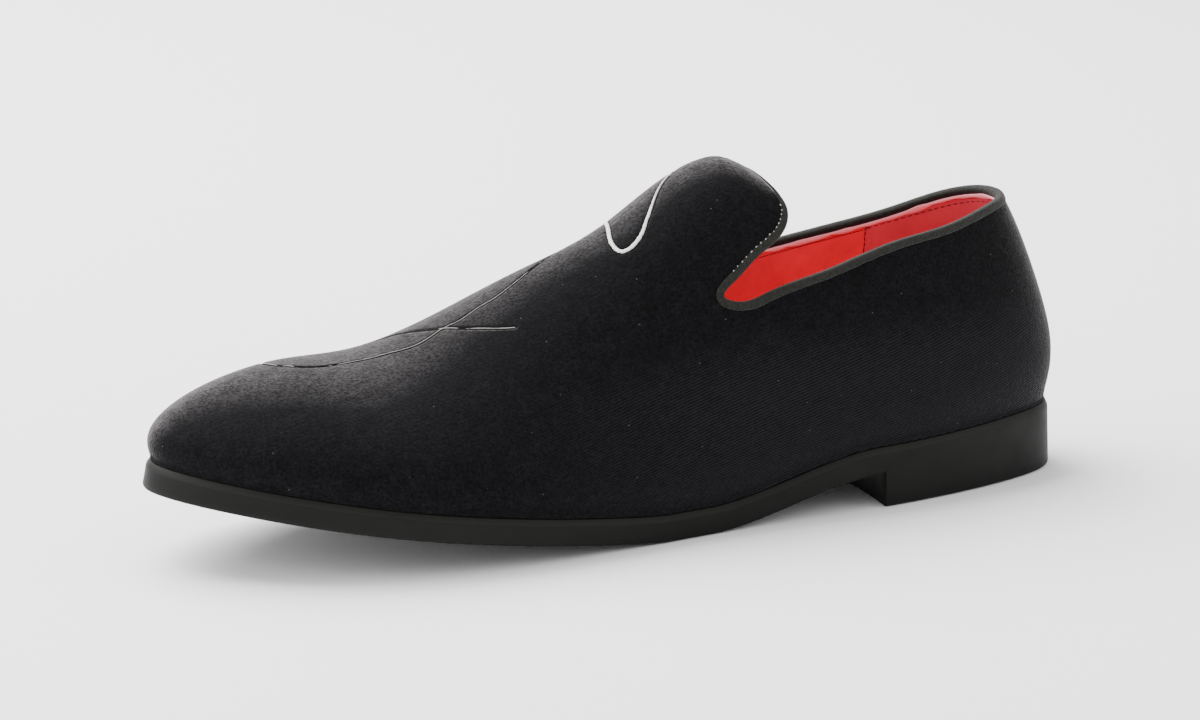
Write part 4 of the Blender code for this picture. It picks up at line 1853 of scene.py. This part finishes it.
class LoaferColours(bpy.types.PropertyGroup):
    """Colours of the loafer's materials."""

    velvet: colour_property("Velvet", "Pile of the upper", "#0e0e10")
    tape: colour_property("Tape", "Grosgrain round the topline", "#11110d")
    rubber: colour_property("Rubber", "Moulded sole and heel", "#0c0d0b")
    # Colour of the bevel along the sole's top: the rubber's, painted lighter for the light from
    # above
    rand: colour_property("Rand", "Bevelled upper edge of the sole", "#171815")
    lining: colour_property("Lining", "Leather of the lining and the sock", "#ec2c46")
    counter: colour_property("Counter", "Leather of the counter lining", "#d0485a")
    # Painted highlight: the lining's leather, painted paler where its turned edge catches light
    fold: colour_property("Fold", "Turned edge of the lining", "#ffa2ac")
    thread: colour_property("Thread", "Embroidery thread", "#efeeea")
    fine_thread: colour_property("Fine thread", "Thin lines, greyed by the pile", "#bab8b2")
    stitch: colour_property("Stitch", "Stitches at the tape's edge", "#b9b8b0")
    # Colour of the lining's stitches and of the painted shadow line under the fold
    dark_thread_and_fold_shadow: colour_property("Dark thread", "Stitches of the lining", "#1b1214")
    floor: colour_property("Floor", "Paper under the shoe", "#fafafa")


class LOAFER_OT_outsole(bpy.types.Operator):
    """Add the moulded sole and heel"""

    bl_idname = "loafer.outsole"
    bl_label = "Outsole"
    bl_options = {"REGISTER", "UNDO"}

    def execute(self, context):
        add_outsole(context.scene.loafer_colours)
        return {"FINISHED"}


class LOAFER_OT_insole(bpy.types.Operator):
    """Add the sock"""

    bl_idname = "loafer.insole"
    bl_label = "Sock"
    bl_options = {"REGISTER", "UNDO"}

    def execute(self, context):
        add_insole(context.scene.loafer_colours)
        return {"FINISHED"}


class LOAFER_OT_velvet(bpy.types.Operator):
    """Add the velvet upper"""

    bl_idname = "loafer.velvet"
    bl_label = "Velvet upper"
    bl_options = {"REGISTER", "UNDO"}

    def execute(self, context):
        add_velvet(context.scene.loafer_colours)
        return {"FINISHED"}


class LOAFER_OT_lining(bpy.types.Operator):
    """Add the lining"""

    bl_idname = "loafer.lining"
    bl_label = "Lining"
    bl_options = {"REGISTER", "UNDO"}

    def execute(self, context):
        add_lining(context.scene.loafer_sizes, context.scene.loafer_colours)
        return {"FINISHED"}


class LOAFER_OT_topline(bpy.types.Operator):
    """Add the tape, the lining's fold, their stitches and a painted shadow line under the fold"""

    bl_idname = "loafer.topline"
    bl_label = "Topline"
    bl_options = {"REGISTER", "UNDO"}

    def execute(self, context):
        sizes = context.scene.loafer_sizes
        colours = context.scene.loafer_colours
        edge = Edge()
        add_tape(sizes, colours, edge)
        add_tape_stitches(sizes, colours, edge)
        add_lining_fold(sizes, colours, edge)
        add_lining_stitches_and_fold_shadow(sizes, colours, edge)
        return {"FINISHED"}


class LOAFER_OT_embroidery(bpy.types.Operator):
    """Add the embroidery"""

    bl_idname = "loafer.embroidery"
    bl_label = "Embroidery"
    bl_options = {"REGISTER", "UNDO"}

    def execute(self, context):
        add_embroidery(context.scene.loafer_sizes, context.scene.loafer_colours)
        return {"FINISHED"}


class LOAFER_OT_stage(bpy.types.Operator):
    """Add the floor, the lights and the camera"""

    bl_idname = "loafer.stage"
    bl_label = "Stage"
    bl_options = {"REGISTER", "UNDO"}

    def execute(self, context):
        add_stage(context.scene.loafer_colours)
        return {"FINISHED"}


OPERATORS = (
    LOAFER_OT_outsole,
    LOAFER_OT_insole,
    LOAFER_OT_velvet,
    LOAFER_OT_lining,
    LOAFER_OT_topline,
    LOAFER_OT_embroidery,
    LOAFER_OT_stage,
)


class LOAFER_PT_panel(bpy.types.Panel):
    """Lists the loafer's pieces, sizes and colours"""

    bl_idname = "LOAFER_PT_panel"
    bl_label = "Slipper loafer"
    bl_space_type = "VIEW_3D"
    bl_region_type = "UI"
    bl_category = "Loafer"

    def draw(self, context):
        for operator in OPERATORS:
            self.layout.operator(operator.bl_idname)
        for group in (context.scene.loafer_sizes, context.scene.loafer_colours):
            for name in group.__annotations__:
                self.layout.prop(group, name)


CLASSES = (LoaferSizes, LoaferColours, *OPERATORS, LOAFER_PT_panel)


def register():
    for one in CLASSES:
        bpy.utils.register_class(one)
    bpy.types.Scene.loafer_sizes = bpy.props.PointerProperty(type=LoaferSizes)
    bpy.types.Scene.loafer_colours = bpy.props.PointerProperty(type=LoaferColours)


def unregister():
    del bpy.types.Scene.loafer_colours
    del bpy.types.Scene.loafer_sizes
    for one in reversed(CLASSES):
        bpy.utils.unregister_class(one)


def main():
    register()
    bpy.ops.loafer.outsole()
    bpy.ops.loafer.insole()
    bpy.ops.loafer.velvet()
    bpy.ops.loafer.lining()
    bpy.ops.loafer.topline()
    bpy.ops.loafer.embroidery()
    bpy.ops.loafer.stage()


if __name__ == "__main__":
    main()
